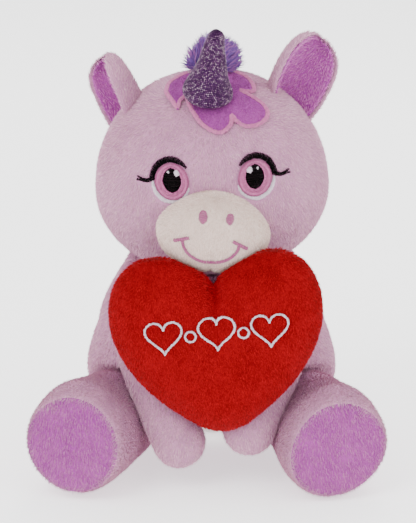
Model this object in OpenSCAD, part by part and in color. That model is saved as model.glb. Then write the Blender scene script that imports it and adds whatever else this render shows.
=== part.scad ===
// Seated plush unicorn that holds a stuffed heart between its paws.
// Millimetres, +Z up, the face looks along -Y. Left and right are as seen from the front: left is -X.
// The origin lies on the floor, on the flat underside of the seat.

/* [Head] */
// Width of the head from side to side
head_w = 103; // [98:1:106]
// Height and depth of the head, which is round seen from the side
head_d = 93; // [90:1:94]
// Height of the head's centre above the floor
head_z = 133; // [132:0.5:136]
// Tilt of the head toward its shoulder, in degrees
head_roll = 2.5; // [0:0.5:4]
// Width of the muzzle
muzzle_w = 50; // [44:1:52]
// Height and depth of the muzzle, round seen from the side
muzzle_d = 37; // [32:1:38]
// Tilt of the muzzle against the head's own tilt, in degrees
muzzle_roll = 5; // [0:1:8]

/* [Eyes] */
// Distance of each eye from the middle of the face
eye_x = 18; // [17:0.5:20]
// Height of the eyes above the head's centre
eye_z = 6; // [5:0.5:9]
// Width of the embroidered iris
iris_w = 14.5; // [13.5:0.5:16]
// Height of the embroidered iris
iris_h = 15.5; // [14.5:0.5:17]

/* [Horn and ears] */
// Length of the horn from its seam to its tip
horn_len = 36.5; // [34:0.5:40]
// Diameter of the horn at its seam
horn_d = 21; // [18:0.5:23]
// Length of an ear above the head
ear_len = 35; // [30:1:37]
// Width of an ear
ear_w = 29; // [26:1:30]

/* [Body] */
// Radius of each half of the pear-shaped torso at the hips
hip_r = 47; // [44:1:48]
// Radius of each half of the torso under the head
neck_r = 28.5; // [26:0.5:30]
// How far the middle of each half of the torso stands to its side
half_shift = 9.5; // [7:0.5:10]
// Height of the torso before the neck is hollowed to take the head
torso_h = 99; // [96:1:102]
// Forward lean of the torso, in degrees
torso_lean = 8; // [4:1:10]

/* [Arms and legs] */
// Radius of the arms at the paw
paw_r = 12; // [11.5:0.5:12.5]
// Radius of the leg at the hip
leg_root_r = 19; // [18:0.5:19.5]
// Radius of the foot
foot_r = 22; // [21:0.5:22.5]
// Length of the leg from the hip to the sole
leg_len = 57; // [55:0.5:58]
// Outward turn of the left leg, in degrees
left_leg_yaw = 19; // [17:1:22]
// Outward turn of the right leg, in degrees
right_leg_yaw = 14; // [12:0.5:16]
// Rise of the left leg toward its foot, in degrees
left_leg_rise = 4; // [3:0.5:5]
// Rise of the right leg toward its foot, in degrees
right_leg_rise = 2; // [2:0.5:4]

/* [Heart] */
// Width of the heart across both lobes
heart_w = 93; // [86:1:94]
// Thickness of the stuffed heart
heart_t = 27; // [22:1:28]
// Tilt of the heart in its own plane, in degrees
heart_roll = 4.5; // [2:0.5:5]

/* [Fabric] */
// Thickness of the plush fabric, backing and pile
fabric_t = 2; // [1.5:0.1:2.2]
// Height of embroidery above the fabric
stitch_t = 0.8; // [0.6:0.1:1.2]

/* [Hidden] */

$fn = 48;
LEFT = -1;
RIGHT = 1;
lilac = "#c9b0cf";
violet = "#b06fbe";
cream = "#e2d6cc";
pink_thread = "#d889b8";
far = 200;            // a block larger than the toy, for cutting halves
gap = 0.2;            // clearance between pieces sewn into one body
joint_gap = 0.8;      // clearance between bodies that move
hip_gap = 2.7;        // room at the root of the leg for its seam ring

pupil_w = 8;
pupil_h = 10.4;
lobe_r = 24;                            // of the heart, seen from the front
flank_r = 20.5;

head_at = [0, 0, head_z];
muzzle_at = [0, -45, -16];              // from the head's centre
left_ear_at = [-35.5, 4, 25.5];         // from the head's centre
right_ear_at = [34, 4, 31];
ear_lean = 33;                          // away from the crown
left_ear_turn = -38;                    // about the ear's own length
right_ear_turn = 15;
horn_lean = 20;                         // forward of upright
horn_side_lean = 9.5;                    // toward the right ear
horn_gap = stitch_t + 1.5;              // lets the horn rock over the forelock
ear_gap = 1.8;                          // lets the ears fold against the head
horn_seat = 34;                         // angle of the horn's seat forward of the crown
torso_base = [0, 17, 0];
shoulder_at = [33, -8, 84];
elbow_at = [32, -31.5, 57];
left_paw_at = [-15, -51, 23];
right_paw_at = [14.8, -49.6, 27.3];
shoulder_r = 10.5;
hip_at = [43, -14, 20.5];
heart_shift = 1.6;                       // toward the right paw
heart_top_at = [heart_w / 2 - lobe_r, -58, 85.5];
heart_flank_at = [19.5, -60, 65];
heart_tip_at = [0, -62.5, 38];
tail_at = [0, 61, 34];

// Point of the head's surface at distance x from its middle and angle a forward of the crown
function on_head(x, a, grow = 0) =
    let (r = (head_d / 2 + grow) * sqrt(1 - pow(x / (head_w / 2 + grow), 2)))
    [x, -r * sin(a), r * cos(a)];

// Round form turned about X, as wide as w and as tall and deep as d
module barrel(w, d) {
    bands = 20;
    rotate([0, 90, 0])
        rotate_extrude()
            polygon([for (i = [0:bands]) let (a = -90 + 180 * i / bands) [d / 2 * cos(a), w / 2 * sin(a)]]);
}

// Capsule turned about its own length, from point a to point b
module capsule(a, b, r) {
    d = b - a;
    steps = 8;
    translate(a)
        rotate([0, acos(d[2] / norm(d)), atan2(d[1], d[0])])
            rotate_extrude()
                polygon(concat(
                    [for (i = [0:steps]) let (t = -90 + 90 * i / steps) [r * cos(t), r * sin(t)]],
                    [for (i = [0:steps]) let (t = 90 * i / steps) [r * cos(t), norm(d) + r * sin(t)]]
                ));
}

// ---- frames: each places what is drawn about its own origin ----
module in_head() translate(head_at) rotate([0, -head_roll, 0]) children();

module in_muzzle() in_head() translate(muzzle_at) rotate([0, muzzle_roll + head_roll, 0]) children();

module in_torso() translate(torso_base) rotate([torso_lean, 0, 0]) children();

function leg_yaw(side) = side == LEFT ? left_leg_yaw : right_leg_yaw;
function leg_rise(side) = side == LEFT ? left_leg_rise : right_leg_rise;

module in_leg(side)
    translate([side * hip_at[0], hip_at[1], hip_at[2]])
        rotate([0, 0, side * leg_yaw(side)])
            rotate([90 - leg_rise(side), 0, 0])
                children();

module in_heart() translate([heart_shift, 0, heart_top_at[2]]) rotate([0, -heart_roll, 0]) translate([0, 0, -heart_top_at[2]]) children();

module in_horn()
    in_head()
        translate(on_head(0, horn_seat))
            rotate([horn_lean, horn_side_lean, 0])
                children();

module in_ear(side)
    in_head()
        translate(side == LEFT ? left_ear_at : right_ear_at)
            rotate([0, side * ear_lean, 0])
                rotate([0, 0, side == LEFT ? left_ear_turn : right_ear_turn])
                    children();

// ---- outer forms, each grown or shrunk by an allowance ----
module head_form(grow = 0) in_head() barrel(head_w + 2 * grow, head_d + 2 * grow);

module muzzle_form(grow = 0) in_muzzle() barrel(muzzle_w + 2 * grow, muzzle_d + 2 * grow);

// Two pears side by side, each turned about its own leaning axis: a rounded base, then a smooth rise to the neck
module torso_form(grow = 0) {
    base_r = 20;
    widest_z = 38;
    steps = 14;
    sink = grow < 0 ? grow : 6;          // the outer form runs below the floor before its flat base is cut
    difference() {
        in_torso()
            for (side = [LEFT, RIGHT])
                translate([side * half_shift, 0, 0])
                    rotate_extrude()
                        polygon(concat(
                            [[0, -sink]],
                            [for (i = [0:steps]) let (a = 90 * i / steps)
                                [base_r + (hip_r - base_r) * sin(a) + grow, widest_z * (1 - cos(a)) - sink * cos(a)]],
                            [for (i = [1:steps]) let (s = i / steps)
                                [neck_r + (hip_r - neck_r) * (1 + cos(180 * s)) / 2 + grow, widest_z + (torso_h - widest_z) * s]],
                            [[0, torso_h]]
                        ));
        translate([-far / 2, -far / 2, -far - (grow < 0 ? grow : 0)]) cube([far, far, far]);
    }
}

// Hollows that let the head, arms, legs and tail move against the torso
module torso_hollows() {
    neck_clearance = 1;
    translate(head_at) sphere(r = head_w / 2 + neck_clearance);
    for (side = [LEFT, RIGHT]) {
        elbow = [side * elbow_at[0], elbow_at[1], elbow_at[2]];
        capsule([side * shoulder_at[0], shoulder_at[1], shoulder_at[2]], elbow, paw_r + joint_gap);
        capsule(elbow, side == LEFT ? left_paw_at : right_paw_at, paw_r + joint_gap);
        in_leg(side) leg_sweep();
    }
    translate(tail_at) sphere(r = 9 + joint_gap);
}

// Space that a leg needs when it lifts and spreads: its round root and a wide cone in front of it
module leg_sweep() {
    tilt = 8;
    reach = 60;
    widening = 0.7;
    rotate([tilt, -tilt, 0])
        rotate_extrude()
            polygon(concat(
                [for (i = [0:8]) let (t = -90 + 90 * i / 8) (leg_root_r + hip_gap) * [cos(t), sin(t)]],
                [[leg_root_r + 2 + reach * widening, reach], [0, reach]]
            ));
}

// Leg turned about its own length: round root, widening foot, softly edged sole
module leg_form(grow = 0) {
    edge_r = 6;
    steps = 8;
    rotate_extrude()
        polygon(concat(
            [for (i = [0:steps]) let (t = -90 + 90 * i / steps) (leg_root_r + grow) * [cos(t), sin(t)]],
            [for (i = [1:steps]) let (s = i / steps)
                [leg_root_r + (foot_r - leg_root_r) * (1 - cos(180 * s)) / 2 + grow, (leg_len - edge_r) * s]],
            [for (i = [1:4]) let (t = 90 * i / 4)
                [foot_r - edge_r + edge_r * cos(t) + grow, leg_len - edge_r + edge_r * sin(t) + grow]],
            [[0, leg_len + grow]]
        ));
}

// Arm bent at the elbow, from the shoulder to the paw
module arm_form(side, grow = 0) {
    function at(p) = [side * p[0], p[1], p[2]];
    elbow_r = paw_r - 1;
    hull() {
        translate(at(shoulder_at)) sphere(r = shoulder_r + grow, $fn = 22);
        translate(at(elbow_at)) sphere(r = elbow_r + grow, $fn = 22);
    }
    hull() {
        translate(at(elbow_at)) sphere(r = elbow_r + grow, $fn = 22);
        translate(side == LEFT ? left_paw_at : right_paw_at) sphere(r = paw_r + grow, $fn = 22);
    }
}

// Stuffed heart: each half swells from a thick lobe down to the tip
module heart_form(grow = 0) {
    module lens(r, half_t) {
        bands = 8;
        rotate([90, 0, 0])
            rotate_extrude($fn = 28)
                polygon([for (i = [0:bands]) let (a = -90 + 180 * i / bands)
                    [(r + grow) * cos(a), (half_t + grow) * sin(a)]]);
    }
    in_heart()
        for (side = [LEFT, RIGHT])
            hull() {
                translate([side * heart_top_at[0], heart_top_at[1], heart_top_at[2]]) lens(lobe_r, heart_t / 2);
                translate([side * heart_flank_at[0], heart_flank_at[1], heart_flank_at[2]])
                    lens(flank_r, heart_t / 2 - 2.5);
                translate(heart_tip_at) sphere(r = 7 + grow, $fn = 20);
            }
}

// Dent that the chin presses into the heart's notch
module chin_dent() {
    turn_room = 9.5;
    in_muzzle() barrel(muzzle_w + 2 * turn_room, muzzle_d + 4);
}

module front_of(y) translate([-far / 2, y - far, -far / 2]) cube([far, far, 2 * far]);

module side_of(side) translate([side > 0 ? gap / 2 : -far - gap / 2, -far, -far]) cube([far, 2 * far, 2 * far]);

// ---- torso ----
seam_y = 12;

module torso_shell() {
    difference() {
        torso_form();
        torso_form(-fabric_t);
        torso_hollows();
    }
}

module torso_front_panel() {
    color(lilac) intersection() { torso_shell(); front_of(seam_y - gap / 2); }
}

module torso_back_panel(side) {
    color(lilac)
        difference() {
            intersection() { torso_shell(); side_of(side); }
            front_of(seam_y + gap / 2);
        }
}

module pellet_bag_form(grow = 0) {
    translate([0, torso_base[1], 14]) sphere(r = 11 + grow);
}

module torso_stuffing() {
    color("white")
        difference() {
            torso_form(-fabric_t - gap);
            torso_hollows();
            pellet_bag_form(gap);
        }
}

module pellet_bag() {
    color("gainsboro") pellet_bag_form();
}

module neck_seam() {
    ring_r = 18;
    thread_r = 1.7;
    ring_drop = 45.8;
    color(lilac)
        translate(head_at - [0, 0, ring_drop])
            rotate_extrude()
                translate([ring_r, 0]) circle(r = thread_r, $fn = 20);
}

// ---- head ----
module head_shell() {
    difference() {
        head_form();
        head_form(-fabric_t);
        in_horn() translate([0, 0, -6]) cylinder(r = horn_d / 2 - 3, h = 12);
    }
}

module head_face_panel() {
    color(lilac)
        difference() {
            intersection() { head_shell(); front_of(-gap / 2); }
            muzzle_form(-fabric_t);
        }
}

module head_back_panel(side) {
    color(lilac)
        difference() {
            intersection() { head_shell(); side_of(side); }
            front_of(gap / 2);
        }
}

module head_stuffing() {
    color("white") head_form(-fabric_t - gap);
}

module muzzle_panel() {
    color(cream)
        difference() {
            muzzle_form();
            muzzle_form(-fabric_t);
            head_form(gap);
        }
}

module muzzle_stuffing() {
    color("white")
        difference() {
            muzzle_form(-fabric_t - gap);
            head_form(gap);
        }
}

// Skin of a given form between two heights, which holds a flat outline laid on it from the front
module stitched_on_head(low = 0.1) {
    intersection() {
        difference() { head_form(low + stitch_t); head_form(low); }
        in_head() rotate([90, 0, 0]) linear_extrude(far) children();
    }
}

module stitched_on_muzzle() {
    intersection() {
        difference() { muzzle_form(0.1 + stitch_t); muzzle_form(0.1); }
        in_muzzle() rotate([90, 0, 0]) linear_extrude(far) children();
    }
}

// Ellipse as a polygon, so that it stays exact
module oval(w, h, from = 0, to = 360, n = 24)
    polygon([for (i = [0:(to - from < 360 ? n : n - 1)]) let (a = from + (to - from) * i / n) [w / 2 * cos(a), h / 2 * sin(a)]]);

module nostrils() {
    color(pink_thread)
        stitched_on_muzzle()
            for (side = [LEFT, RIGHT])
                translate([side * 6, 9]) oval(4, 5);
}

module smile() {
    smile_w = 27;
    color(pink_thread)
        stitched_on_muzzle()
            translate([0, -2])
                difference() {
                    oval(smile_w, 19, 180, 360);
                    oval(smile_w - 2.4, 16.6, 180, 360);
                }
}

module in_eye(side) translate([side * eye_x, eye_z]) children();

module in_pupil() translate([0, 0.6]) children();

module eye_white(side) {
    color("white")
        difference() {
            stitched_on_head()
                in_eye(side)
                    difference() {
                        translate([side * 0.6, -0.6]) oval(iris_w + 3.2, iris_h + 1.4, 180, 360);
                        oval(iris_w + 0.3, iris_h + 0.3);
                    }
            muzzle_form(gap);
        }
}

module iris(side) {
    color(pink_thread)
        difference() {
            stitched_on_head()
                in_eye(side)
                    difference() {
                        oval(iris_w, iris_h);
                        in_pupil() oval(pupil_w + 0.3, pupil_h + 0.3);
                    }
            muzzle_form(gap);
        }
}

module pupil(side) {
    color("black")
        stitched_on_head()
            in_eye(side)
                difference() {
                    in_pupil() oval(pupil_w, pupil_h);
                    glint_outlines(side, 0.15);
                }
}

module glint_outlines(side, grow = 0) {
    translate([-side * 1.9, 3.5]) circle(r = 1.3 + grow);
    translate([side * 1.2, 3.6]) circle(r = 0.6 + grow, $fn = 16);
}

module glints(side) {
    color("white") stitched_on_head() in_eye(side) glint_outlines(side);
}

module lashes(side) {
    lash_w = 19;
    lash_h = 19;
    lash_t = 1.9;
    color("black")
        stitched_on_head()
            in_eye(side) {
                difference() {
                    oval(lash_w, lash_h, 0, 180);
                    oval(lash_w - 2 * lash_t, lash_h - 2 * lash_t, 0, 180);
                    oval(iris_w + 0.4, iris_h + 0.4);
                }
                mirror([side < 0 ? 1 : 0, 0]) polygon([[8.8, -0.4], [14.6, 0.6], [11.6, 1.4], [13.4, 3.2], [9, 2.2]]);
            }
}

// Lobed patch around the horn's seam, drawn with its border's width taken off each lobe
module forelock_outline(inset = 0) {
    lobes = [[-3.5, 36, 12], [3.5, 29.5, 9.6], [17, 28.5, 8.8], [12, 39, 9.5], [-12.5, 36.5, 7]];
    for (l = lobes)
        translate([l[0], l[1]]) circle(r = l[2] - inset, $fn = 28);
}

module horn_seat_hole() in_horn() translate([0, 0, -12]) cylinder(r = horn_d / 2 + gap, h = 24);

module forelock_patch() {
    color(violet) difference() { stitched_on_head() forelock_outline(2.6); horn_seat_hole(); }
}

module forelock_border() {
    color(pink_thread)
        difference() {
            stitched_on_head() difference() { forelock_outline(); forelock_outline(2.5); }
            horn_seat_hole();
        }
}

module mane_tuft() {
    color("#8d73bd")
        difference() {
            in_head() translate(on_head(3, -3, 3)) barrel(30, 27);
            head_form(stitch_t + 2 * gap);
            in_horn() horn_form(joint_gap + 2.6);
        }
}

// ---- horn ----
// Cone with a hollow flank that flares at its seam; its root is rounded so that it can rock
module horn_form(grow = 0) {
    tip_r = 2.7;
    steps = 10;
    rotate_extrude()
        polygon(concat(
            [[0, -8]],
            [[horn_d / 2 + grow, -8]],
            [for (i = [0:steps]) let (s = i / steps)
                [tip_r + (horn_d / 2 - tip_r) * pow(1 - s, 1.35) + grow, s * (horn_len - tip_r)]],
            [for (i = [1:4]) let (t = 90 * i / 4) [(tip_r + grow) * cos(t), horn_len - tip_r + (tip_r + grow) * sin(t)]]
        ));
}

module horn_cover() {
    color("#4b2f5c")
        difference() {
            in_horn() horn_form();
            in_horn() horn_form(-1.2);
            head_form(horn_gap);
        }
}

module horn_stuffing() {
    color("white")
        difference() {
            in_horn() horn_form(-1.2 - gap);
            head_form(horn_gap + gap);
        }
}

// ---- ears ----
ear_cup_r = 24;                         // radius of the face where lining and back meet
ear_back_t = 2.2;
ear_lining_t = 1.8;
ear_hem = 2;                            // width of the back that shows round the lining

// Leaf outline, round at the root and drawn to a soft point
module leaf(w, len) {
    hull() {
        translate([0, len * 0.36]) circle(d = w, $fn = 28);
        translate([0, len - 4]) circle(r = 4, $fn = 16);
        translate([0, 2]) circle(d = w * 0.55, $fn = 16);
    }
}

// Cupped layer of the ear between two distances from the cup's centre
module ear_layer(r_low, r_high, w, len) {
    intersection() {
        translate([0, 2 - ear_cup_r, ear_len * 0.42]) difference() { sphere(r = r_high); sphere(r = r_low); }
        rotate([90, 0, 0]) translate([0, 0, -far / 2]) linear_extrude(far / 2 + 15) leaf(w, len);
    }
}

module ear_back(side) {
    color(lilac) difference() { in_ear(side) ear_layer(ear_cup_r, ear_cup_r + ear_back_t, ear_w, ear_len); head_form(ear_gap); }
}

module ear_lining(side) {
    color(violet)
        difference() { in_ear(side) ear_layer(ear_cup_r - ear_lining_t - gap, ear_cup_r - gap, ear_w - 2 * ear_hem, ear_len - 1.5 * ear_hem); head_form(ear_gap); }
}

// ---- arms ----
module arm_cover(side) {
    color(lilac) difference() { arm_form(side); arm_form(side, -fabric_t); }
}

module arm_stuffing(side) {
    color("white") arm_form(side, -fabric_t - gap);
}

// ---- heart ----
heart_seam_y = -58.5;

module heart_shell() {
    difference() { heart_form(); heart_form(-1.6); chin_dent(); }
}

module heart_front_panel() {
    color("#c0000f") intersection() { heart_shell(); front_of(heart_seam_y - gap / 2); }
}

module heart_back_panel() {
    color("#c0000f") difference() { heart_shell(); front_of(heart_seam_y + gap / 2); }
}

module heart_stuffing() {
    color("white") difference() { heart_form(-1.6 - gap); chin_dent(); }
}

// Small heart drawn as an outline one thread wide
module heart_outline(size, thread) {
    module solid(s) {
        for (side = [LEFT, RIGHT]) translate([side * s * 0.25, s * 0.2]) circle(r = s * 0.27, $fn = 20);
        polygon([[-s * 0.49, s * 0.08], [0, -s * 0.5], [s * 0.49, s * 0.08], [0, s * 0.3]]);
    }
    difference() { solid(size); solid(size - 2 * thread); }
}

module heart_motif() {
    thread = 1.3;
    pitch = 23;
    heart_size = 17;
    ring_r = 3.2;
    color("white")
        intersection() {
            difference() { heart_form(0.9); heart_form(0.2); }
            in_heart()
                translate([0, heart_seam_y - 6, 77])
                    rotate([90, 0, 0])
                        linear_extrude(30) {
                            for (i = [-1:1]) translate([i * pitch, 0]) heart_outline(heart_size, thread);
                            for (side = [LEFT, RIGHT])
                                translate([side * pitch / 2, 0])
                                    difference() { circle(r = ring_r, $fn = 20); circle(r = ring_r - thread, $fn = 16); }
                        }
        }
}

// ---- legs ----
module hip_seam(side) {
    thread_r = 0.9;
    ring_r = 9;
    seat_r = leg_root_r + hip_gap / 2;
    color(lilac)
        in_leg(side)
            translate([0, 0, -sqrt(pow(seat_r, 2) - pow(ring_r, 2))])
                rotate_extrude()
                    translate([ring_r, 0]) circle(r = thread_r, $fn = 16);
}

module leg_cover(side) {
    color(lilac)
        in_leg(side)
            difference() {
                leg_form();
                leg_form(-fabric_t);
                translate([0, 0, leg_len - 8]) cylinder(r = foot_r - 4, h = 20);
            }
}

module leg_stuffing(side) {
    color("white") in_leg(side) leg_form(-fabric_t - gap);
}

module sole(side) {
    color(violet)
        in_leg(side)
            translate([0, 0, leg_len - fabric_t]) cylinder(r = foot_r - 4 - gap, h = fabric_t + 0.8);
}

// ---- tail ----
module tail_tuft() {
    color("#8d73bd") capsule(tail_at, tail_at + [0, 17, -18], 8);
}

torso_front_panel();
torso_back_panel(LEFT);  // torso_back_left_panel
torso_back_panel(RIGHT);  // torso_back_right_panel
torso_stuffing();
pellet_bag();
neck_seam();
head_face_panel();
head_back_panel(LEFT);  // head_back_left_panel
head_back_panel(RIGHT);  // head_back_right_panel
head_stuffing();
muzzle_panel();
muzzle_stuffing();
nostrils();
smile();
eye_white(LEFT);  // left_eye_white
iris(LEFT);  // left_iris
pupil(LEFT);  // left_pupil
glints(LEFT);  // left_glints
lashes(LEFT);  // left_lashes
eye_white(RIGHT);  // right_eye_white
iris(RIGHT);  // right_iris
pupil(RIGHT);  // right_pupil
glints(RIGHT);  // right_glints
lashes(RIGHT);  // right_lashes
forelock_patch();
forelock_border();
mane_tuft();
horn_cover();
horn_stuffing();
ear_back(LEFT);  // left_ear_back
ear_lining(LEFT);  // left_ear_lining
ear_back(RIGHT);  // right_ear_back
ear_lining(RIGHT);  // right_ear_lining
arm_cover(LEFT);  // left_arm_cover
arm_stuffing(LEFT);  // left_arm_stuffing
arm_cover(RIGHT);  // right_arm_cover
arm_stuffing(RIGHT);  // right_arm_stuffing
heart_front_panel();
heart_back_panel();
heart_stuffing();
heart_motif();
hip_seam(LEFT);  // left_hip_seam
leg_cover(LEFT);  // left_leg_cover
leg_stuffing(LEFT);  // left_leg_stuffing
sole(LEFT);  // left_sole
hip_seam(RIGHT);  // right_hip_seam
leg_cover(RIGHT);  // right_leg_cover
leg_stuffing(RIGHT);  // right_leg_stuffing
sole(RIGHT);  // right_sole
tail_tuft();
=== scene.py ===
import math

import bmesh
import bpy
import numpy as np
from mathutils import Matrix, Vector
from mathutils.bvhtree import BVHTree


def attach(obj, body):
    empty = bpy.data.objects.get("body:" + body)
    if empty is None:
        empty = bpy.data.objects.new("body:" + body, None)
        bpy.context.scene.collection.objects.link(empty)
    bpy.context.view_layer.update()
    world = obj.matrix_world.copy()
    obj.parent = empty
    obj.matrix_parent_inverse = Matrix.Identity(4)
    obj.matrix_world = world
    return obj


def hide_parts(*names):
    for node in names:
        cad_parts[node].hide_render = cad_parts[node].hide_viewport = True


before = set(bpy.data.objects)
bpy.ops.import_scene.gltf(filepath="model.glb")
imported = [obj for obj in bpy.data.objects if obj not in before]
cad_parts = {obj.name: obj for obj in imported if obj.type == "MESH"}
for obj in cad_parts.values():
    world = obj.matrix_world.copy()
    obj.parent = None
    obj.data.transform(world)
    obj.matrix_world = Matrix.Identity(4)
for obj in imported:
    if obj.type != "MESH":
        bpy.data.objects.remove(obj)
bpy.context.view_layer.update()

MM = 0.001

# ---- Camera ----
# A long lens at the height of the toy's chest, looking slightly down on it.
view_height = 15.0
view_distance = 1.2
aim = Vector((-0.0016, 0.0, 0.0905))
camera_data = bpy.data.cameras.new("camera")
camera_data.lens = 181.0
camera = bpy.data.objects.new("camera", camera_data)
bpy.context.scene.collection.objects.link(camera)
tip_down = math.radians(view_height)
camera.location = aim + view_distance * Vector((0.0, -math.cos(tip_down), math.sin(tip_down)))
camera.rotation_euler = (math.radians(90.0) - tip_down, 0.0, 0.0)
bpy.context.scene.camera = camera

# ---- Studio: floor and lights ----
# A white seamless floor that glows a little, like a lit light table, and three broad soft lamps: a key from
# the upper left, a fill, and a rim from behind.


def linear(colour):
    """sRGB hex to linear red, green, blue and alpha."""
    parts = [int(colour[i : i + 2], 16) / 255.0 for i in (1, 3, 5)]
    return [p / 12.92 if p <= 0.04045 else ((p + 0.055) / 1.055) ** 2.4 for p in parts] + [1.0]


def add(tree, kind, settings=None, **links):
    """Adds a node of a kind, with its settings, and fills its inputs from values or other nodes' outputs."""
    made = tree.nodes.new(kind)
    for key, value in (settings or {}).items():
        setattr(made, key, value)
    for name, value in links.items():
        numbered = name[0] == "i" and name[1:].isdigit()
        socket = made.inputs[int(name[1:])] if numbered else made.inputs[name.replace("_", " ")]
        if isinstance(value, bpy.types.NodeSocket):
            tree.links.new(value, socket)
        else:
            socket.default_value = value
    return made


def new_material(name):
    """A material with its shader ready to be set, and nothing else."""
    made = bpy.data.materials.new(name)
    made.use_nodes = True
    shader = made.node_tree.nodes["Principled BSDF"]
    return made, made.node_tree, shader


def link(name, mesh):
    """Puts a mesh into the scene under a name."""
    obj = bpy.data.objects.new(name, mesh)
    bpy.context.scene.collection.objects.link(obj)
    return obj


floor_mesh = bpy.data.meshes.new("studio_floor")
floor_mesh.from_pydata([(-3, -3, 0), (3, -3, 0), (3, 3, 0), (-3, 3, 0)], [], [(0, 1, 2, 3)])
floor = link("studio_floor", floor_mesh)
floor_paint, tree, shader = new_material("white_floor")
shader.inputs["Base Color"].default_value = linear("#ffffff")
shader.inputs["Roughness"].default_value = 0.9
shader.inputs["Emission Color"].default_value = linear("#ffffff")
shader.inputs["Emission Strength"].default_value = 1.0
floor_mesh.materials.append(floor_paint)

world = bpy.data.worlds.new("studio_air")
world.use_nodes = True
world.node_tree.nodes["Background"].inputs["Color"].default_value = linear("#ffffff")
world.node_tree.nodes["Background"].inputs["Strength"].default_value = 1.85
bpy.context.scene.world = world

for name, place, size, power in (
    ("key_lamp", (-0.55, -0.75, 0.85), 0.6, 7.0),
    ("fill_lamp", (0.7, -0.8, 0.45), 0.8, 3.0),
    ("rim_lamp", (0.15, 0.8, 0.9), 0.6, 5.0),
):
    lamp_data = bpy.data.lights.new(name, "AREA")
    lamp_data.size = size
    lamp_data.energy = power
    lamp = bpy.data.objects.new(name, lamp_data)
    lamp.location = place
    lamp.rotation_euler = (aim - Vector(place)).to_track_quat("-Z", "Y").to_euler()
    bpy.context.scene.collection.objects.link(lamp)

# ---- Head cover ----
# One stuffed ball of lilac short-pile plush: a face panel and two back panels meet at seams over the
# crown, behind the ears and down the back of the head, and the polyester stuffing keeps it round.
head_at = Vector((0.0, 0.0, 133.0)) * MM
head_roll = math.radians(2.5)
head_half = Vector((51.5, 46.5, 46.5)) * MM
pile_room = 1.0 * MM
to_head = Matrix.Translation(head_at) @ Matrix.Rotation(-head_roll, 4, "Y")


def short_pile(name, colour, shade):
    """Knitted backing of short-pile plush, seen between the pile: matt, softly mottled, finely napped."""
    made, tree, shader = new_material(name)
    place = add(tree, "ShaderNodeTexCoord").outputs["Object"]
    cloud = add(tree, "ShaderNodeTexNoise", Vector=place, Scale=120.0, Detail=3.0)
    grain = add(tree, "ShaderNodeTexNoise", Vector=place, Scale=1400.0, Detail=2.0)
    mottle = add(tree, "ShaderNodeMath", {"operation": "ADD"}, i0=cloud.outputs["Fac"],
                 i1=grain.outputs["Fac"])
    ramp = add(tree, "ShaderNodeMapRange", {"clamp": True}, i0=mottle.outputs[0], i1=0.75, i2=1.25, i3=0.0,
               i4=1.0)
    tone = add(tree, "ShaderNodeMix", {"data_type": "RGBA"}, i0=ramp.outputs[0], i6=linear(shade),
               i7=linear(colour))
    bump = add(tree, "ShaderNodeBump", Height=grain.outputs["Fac"], Strength=0.5, Distance=0.0005)
    tree.links.new(tone.outputs[2], shader.inputs["Base Color"])
    tree.links.new(bump.outputs["Normal"], shader.inputs["Normal"])
    shader.inputs["Roughness"].default_value = 0.95
    shader.inputs["Specular IOR Level"].default_value = 0.05
    shader.inputs["Sheen Weight"].default_value = 0.08
    shader.inputs["Sheen Roughness"].default_value = 0.45
    return made


def pile_fibre(name, colour, sheen=0.12):
    """Polyester pile fibre: fine, soft, with a pale sheen where the light grazes it."""
    made, tree, shader = new_material(name)
    shader.inputs["Base Color"].default_value = linear(colour)
    shader.inputs["Roughness"].default_value = 0.75
    shader.inputs["Specular IOR Level"].default_value = 0.08
    shader.inputs["Sheen Weight"].default_value = sheen
    shader.inputs["Sheen Roughness"].default_value = 0.4
    return made


def pile_fibres(name, colours, sheen=0.12):
    """Three shades of one pile, since no two bundles of dyed fibre are quite alike."""
    return [pile_fibre(f"{name}_{i}", c, sheen) for i, c in enumerate(colours)]


lilac_backing = short_pile("lilac_plush_backing", "#b983a2", "#a57293")
lilac_pile = pile_fibres("lilac_pile", ("#c495ae", "#ba89a5", "#cfa5b5"))


def quad_ball(steps, shape):
    """Closed ball of quads, where shape turns each unit direction into a point."""
    bm = bmesh.new()
    bmesh.ops.create_cube(bm, size=2.0)
    bmesh.ops.subdivide_edges(bm, edges=bm.edges, cuts=steps - 1, use_grid_fill=True)
    for v in bm.verts:
        even = Vector([math.tan(c * math.pi / 4.0) for c in v.co])
        v.co = shape(even.normalized())
    bmesh.ops.recalc_face_normals(bm, faces=bm.faces)
    mesh = bpy.data.meshes.new("ball")
    bm.to_mesh(mesh)
    bm.free()
    return mesh


def groove(distance, width=1.3 * MM, depth=0.9 * MM):
    """How far a seam pulls the fabric in, at a distance from the stitching."""
    return depth * math.exp(-((distance / width) ** 2))


def head_shape(way):
    """Full-cheeked ball: widest below the middle, a little flatter on the crown, drawn in along the seams."""
    power = 2.2
    fullness = sum(abs(way[k]) ** power for k in range(3)) ** (-1.0 / power)
    p = Vector([way[k] * fullness * (head_half[k] - pile_room) for k in range(3)])
    height = p.z / head_half.z
    full_cheeks = 0.035 * math.exp(-(((height + 0.3) / 0.45) ** 2))
    p.x *= 1.0 + full_cheeks + 0.05 * max(0.0, -height) - 0.09 * max(0.0, height) ** 1.6
    side_seam = abs(p.y - 6.0 * MM)
    back_seam = abs(p.x) if p.y > 0 else 1.0
    return p - way * (groove(side_seam) + groove(back_seam))


def finish_mesh(obj, material):
    """Gives an object one material and smooth faces."""
    obj.data.materials.clear()
    obj.data.materials.append(material)
    for face in obj.data.polygons:
        face.use_smooth = True
    return obj


head_mesh = quad_ball(54, head_shape)
head_mesh.transform(to_head)
head = finish_mesh(link("head_cover", head_mesh), lilac_backing)

# ---- Pile of the short plush ----
# The pile stands about 2 mm off its knitted backing and is brushed one way, so it lies over in soft
# swirls. Each blade is a bundle of fibres, as wide as shows at this distance.


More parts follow.
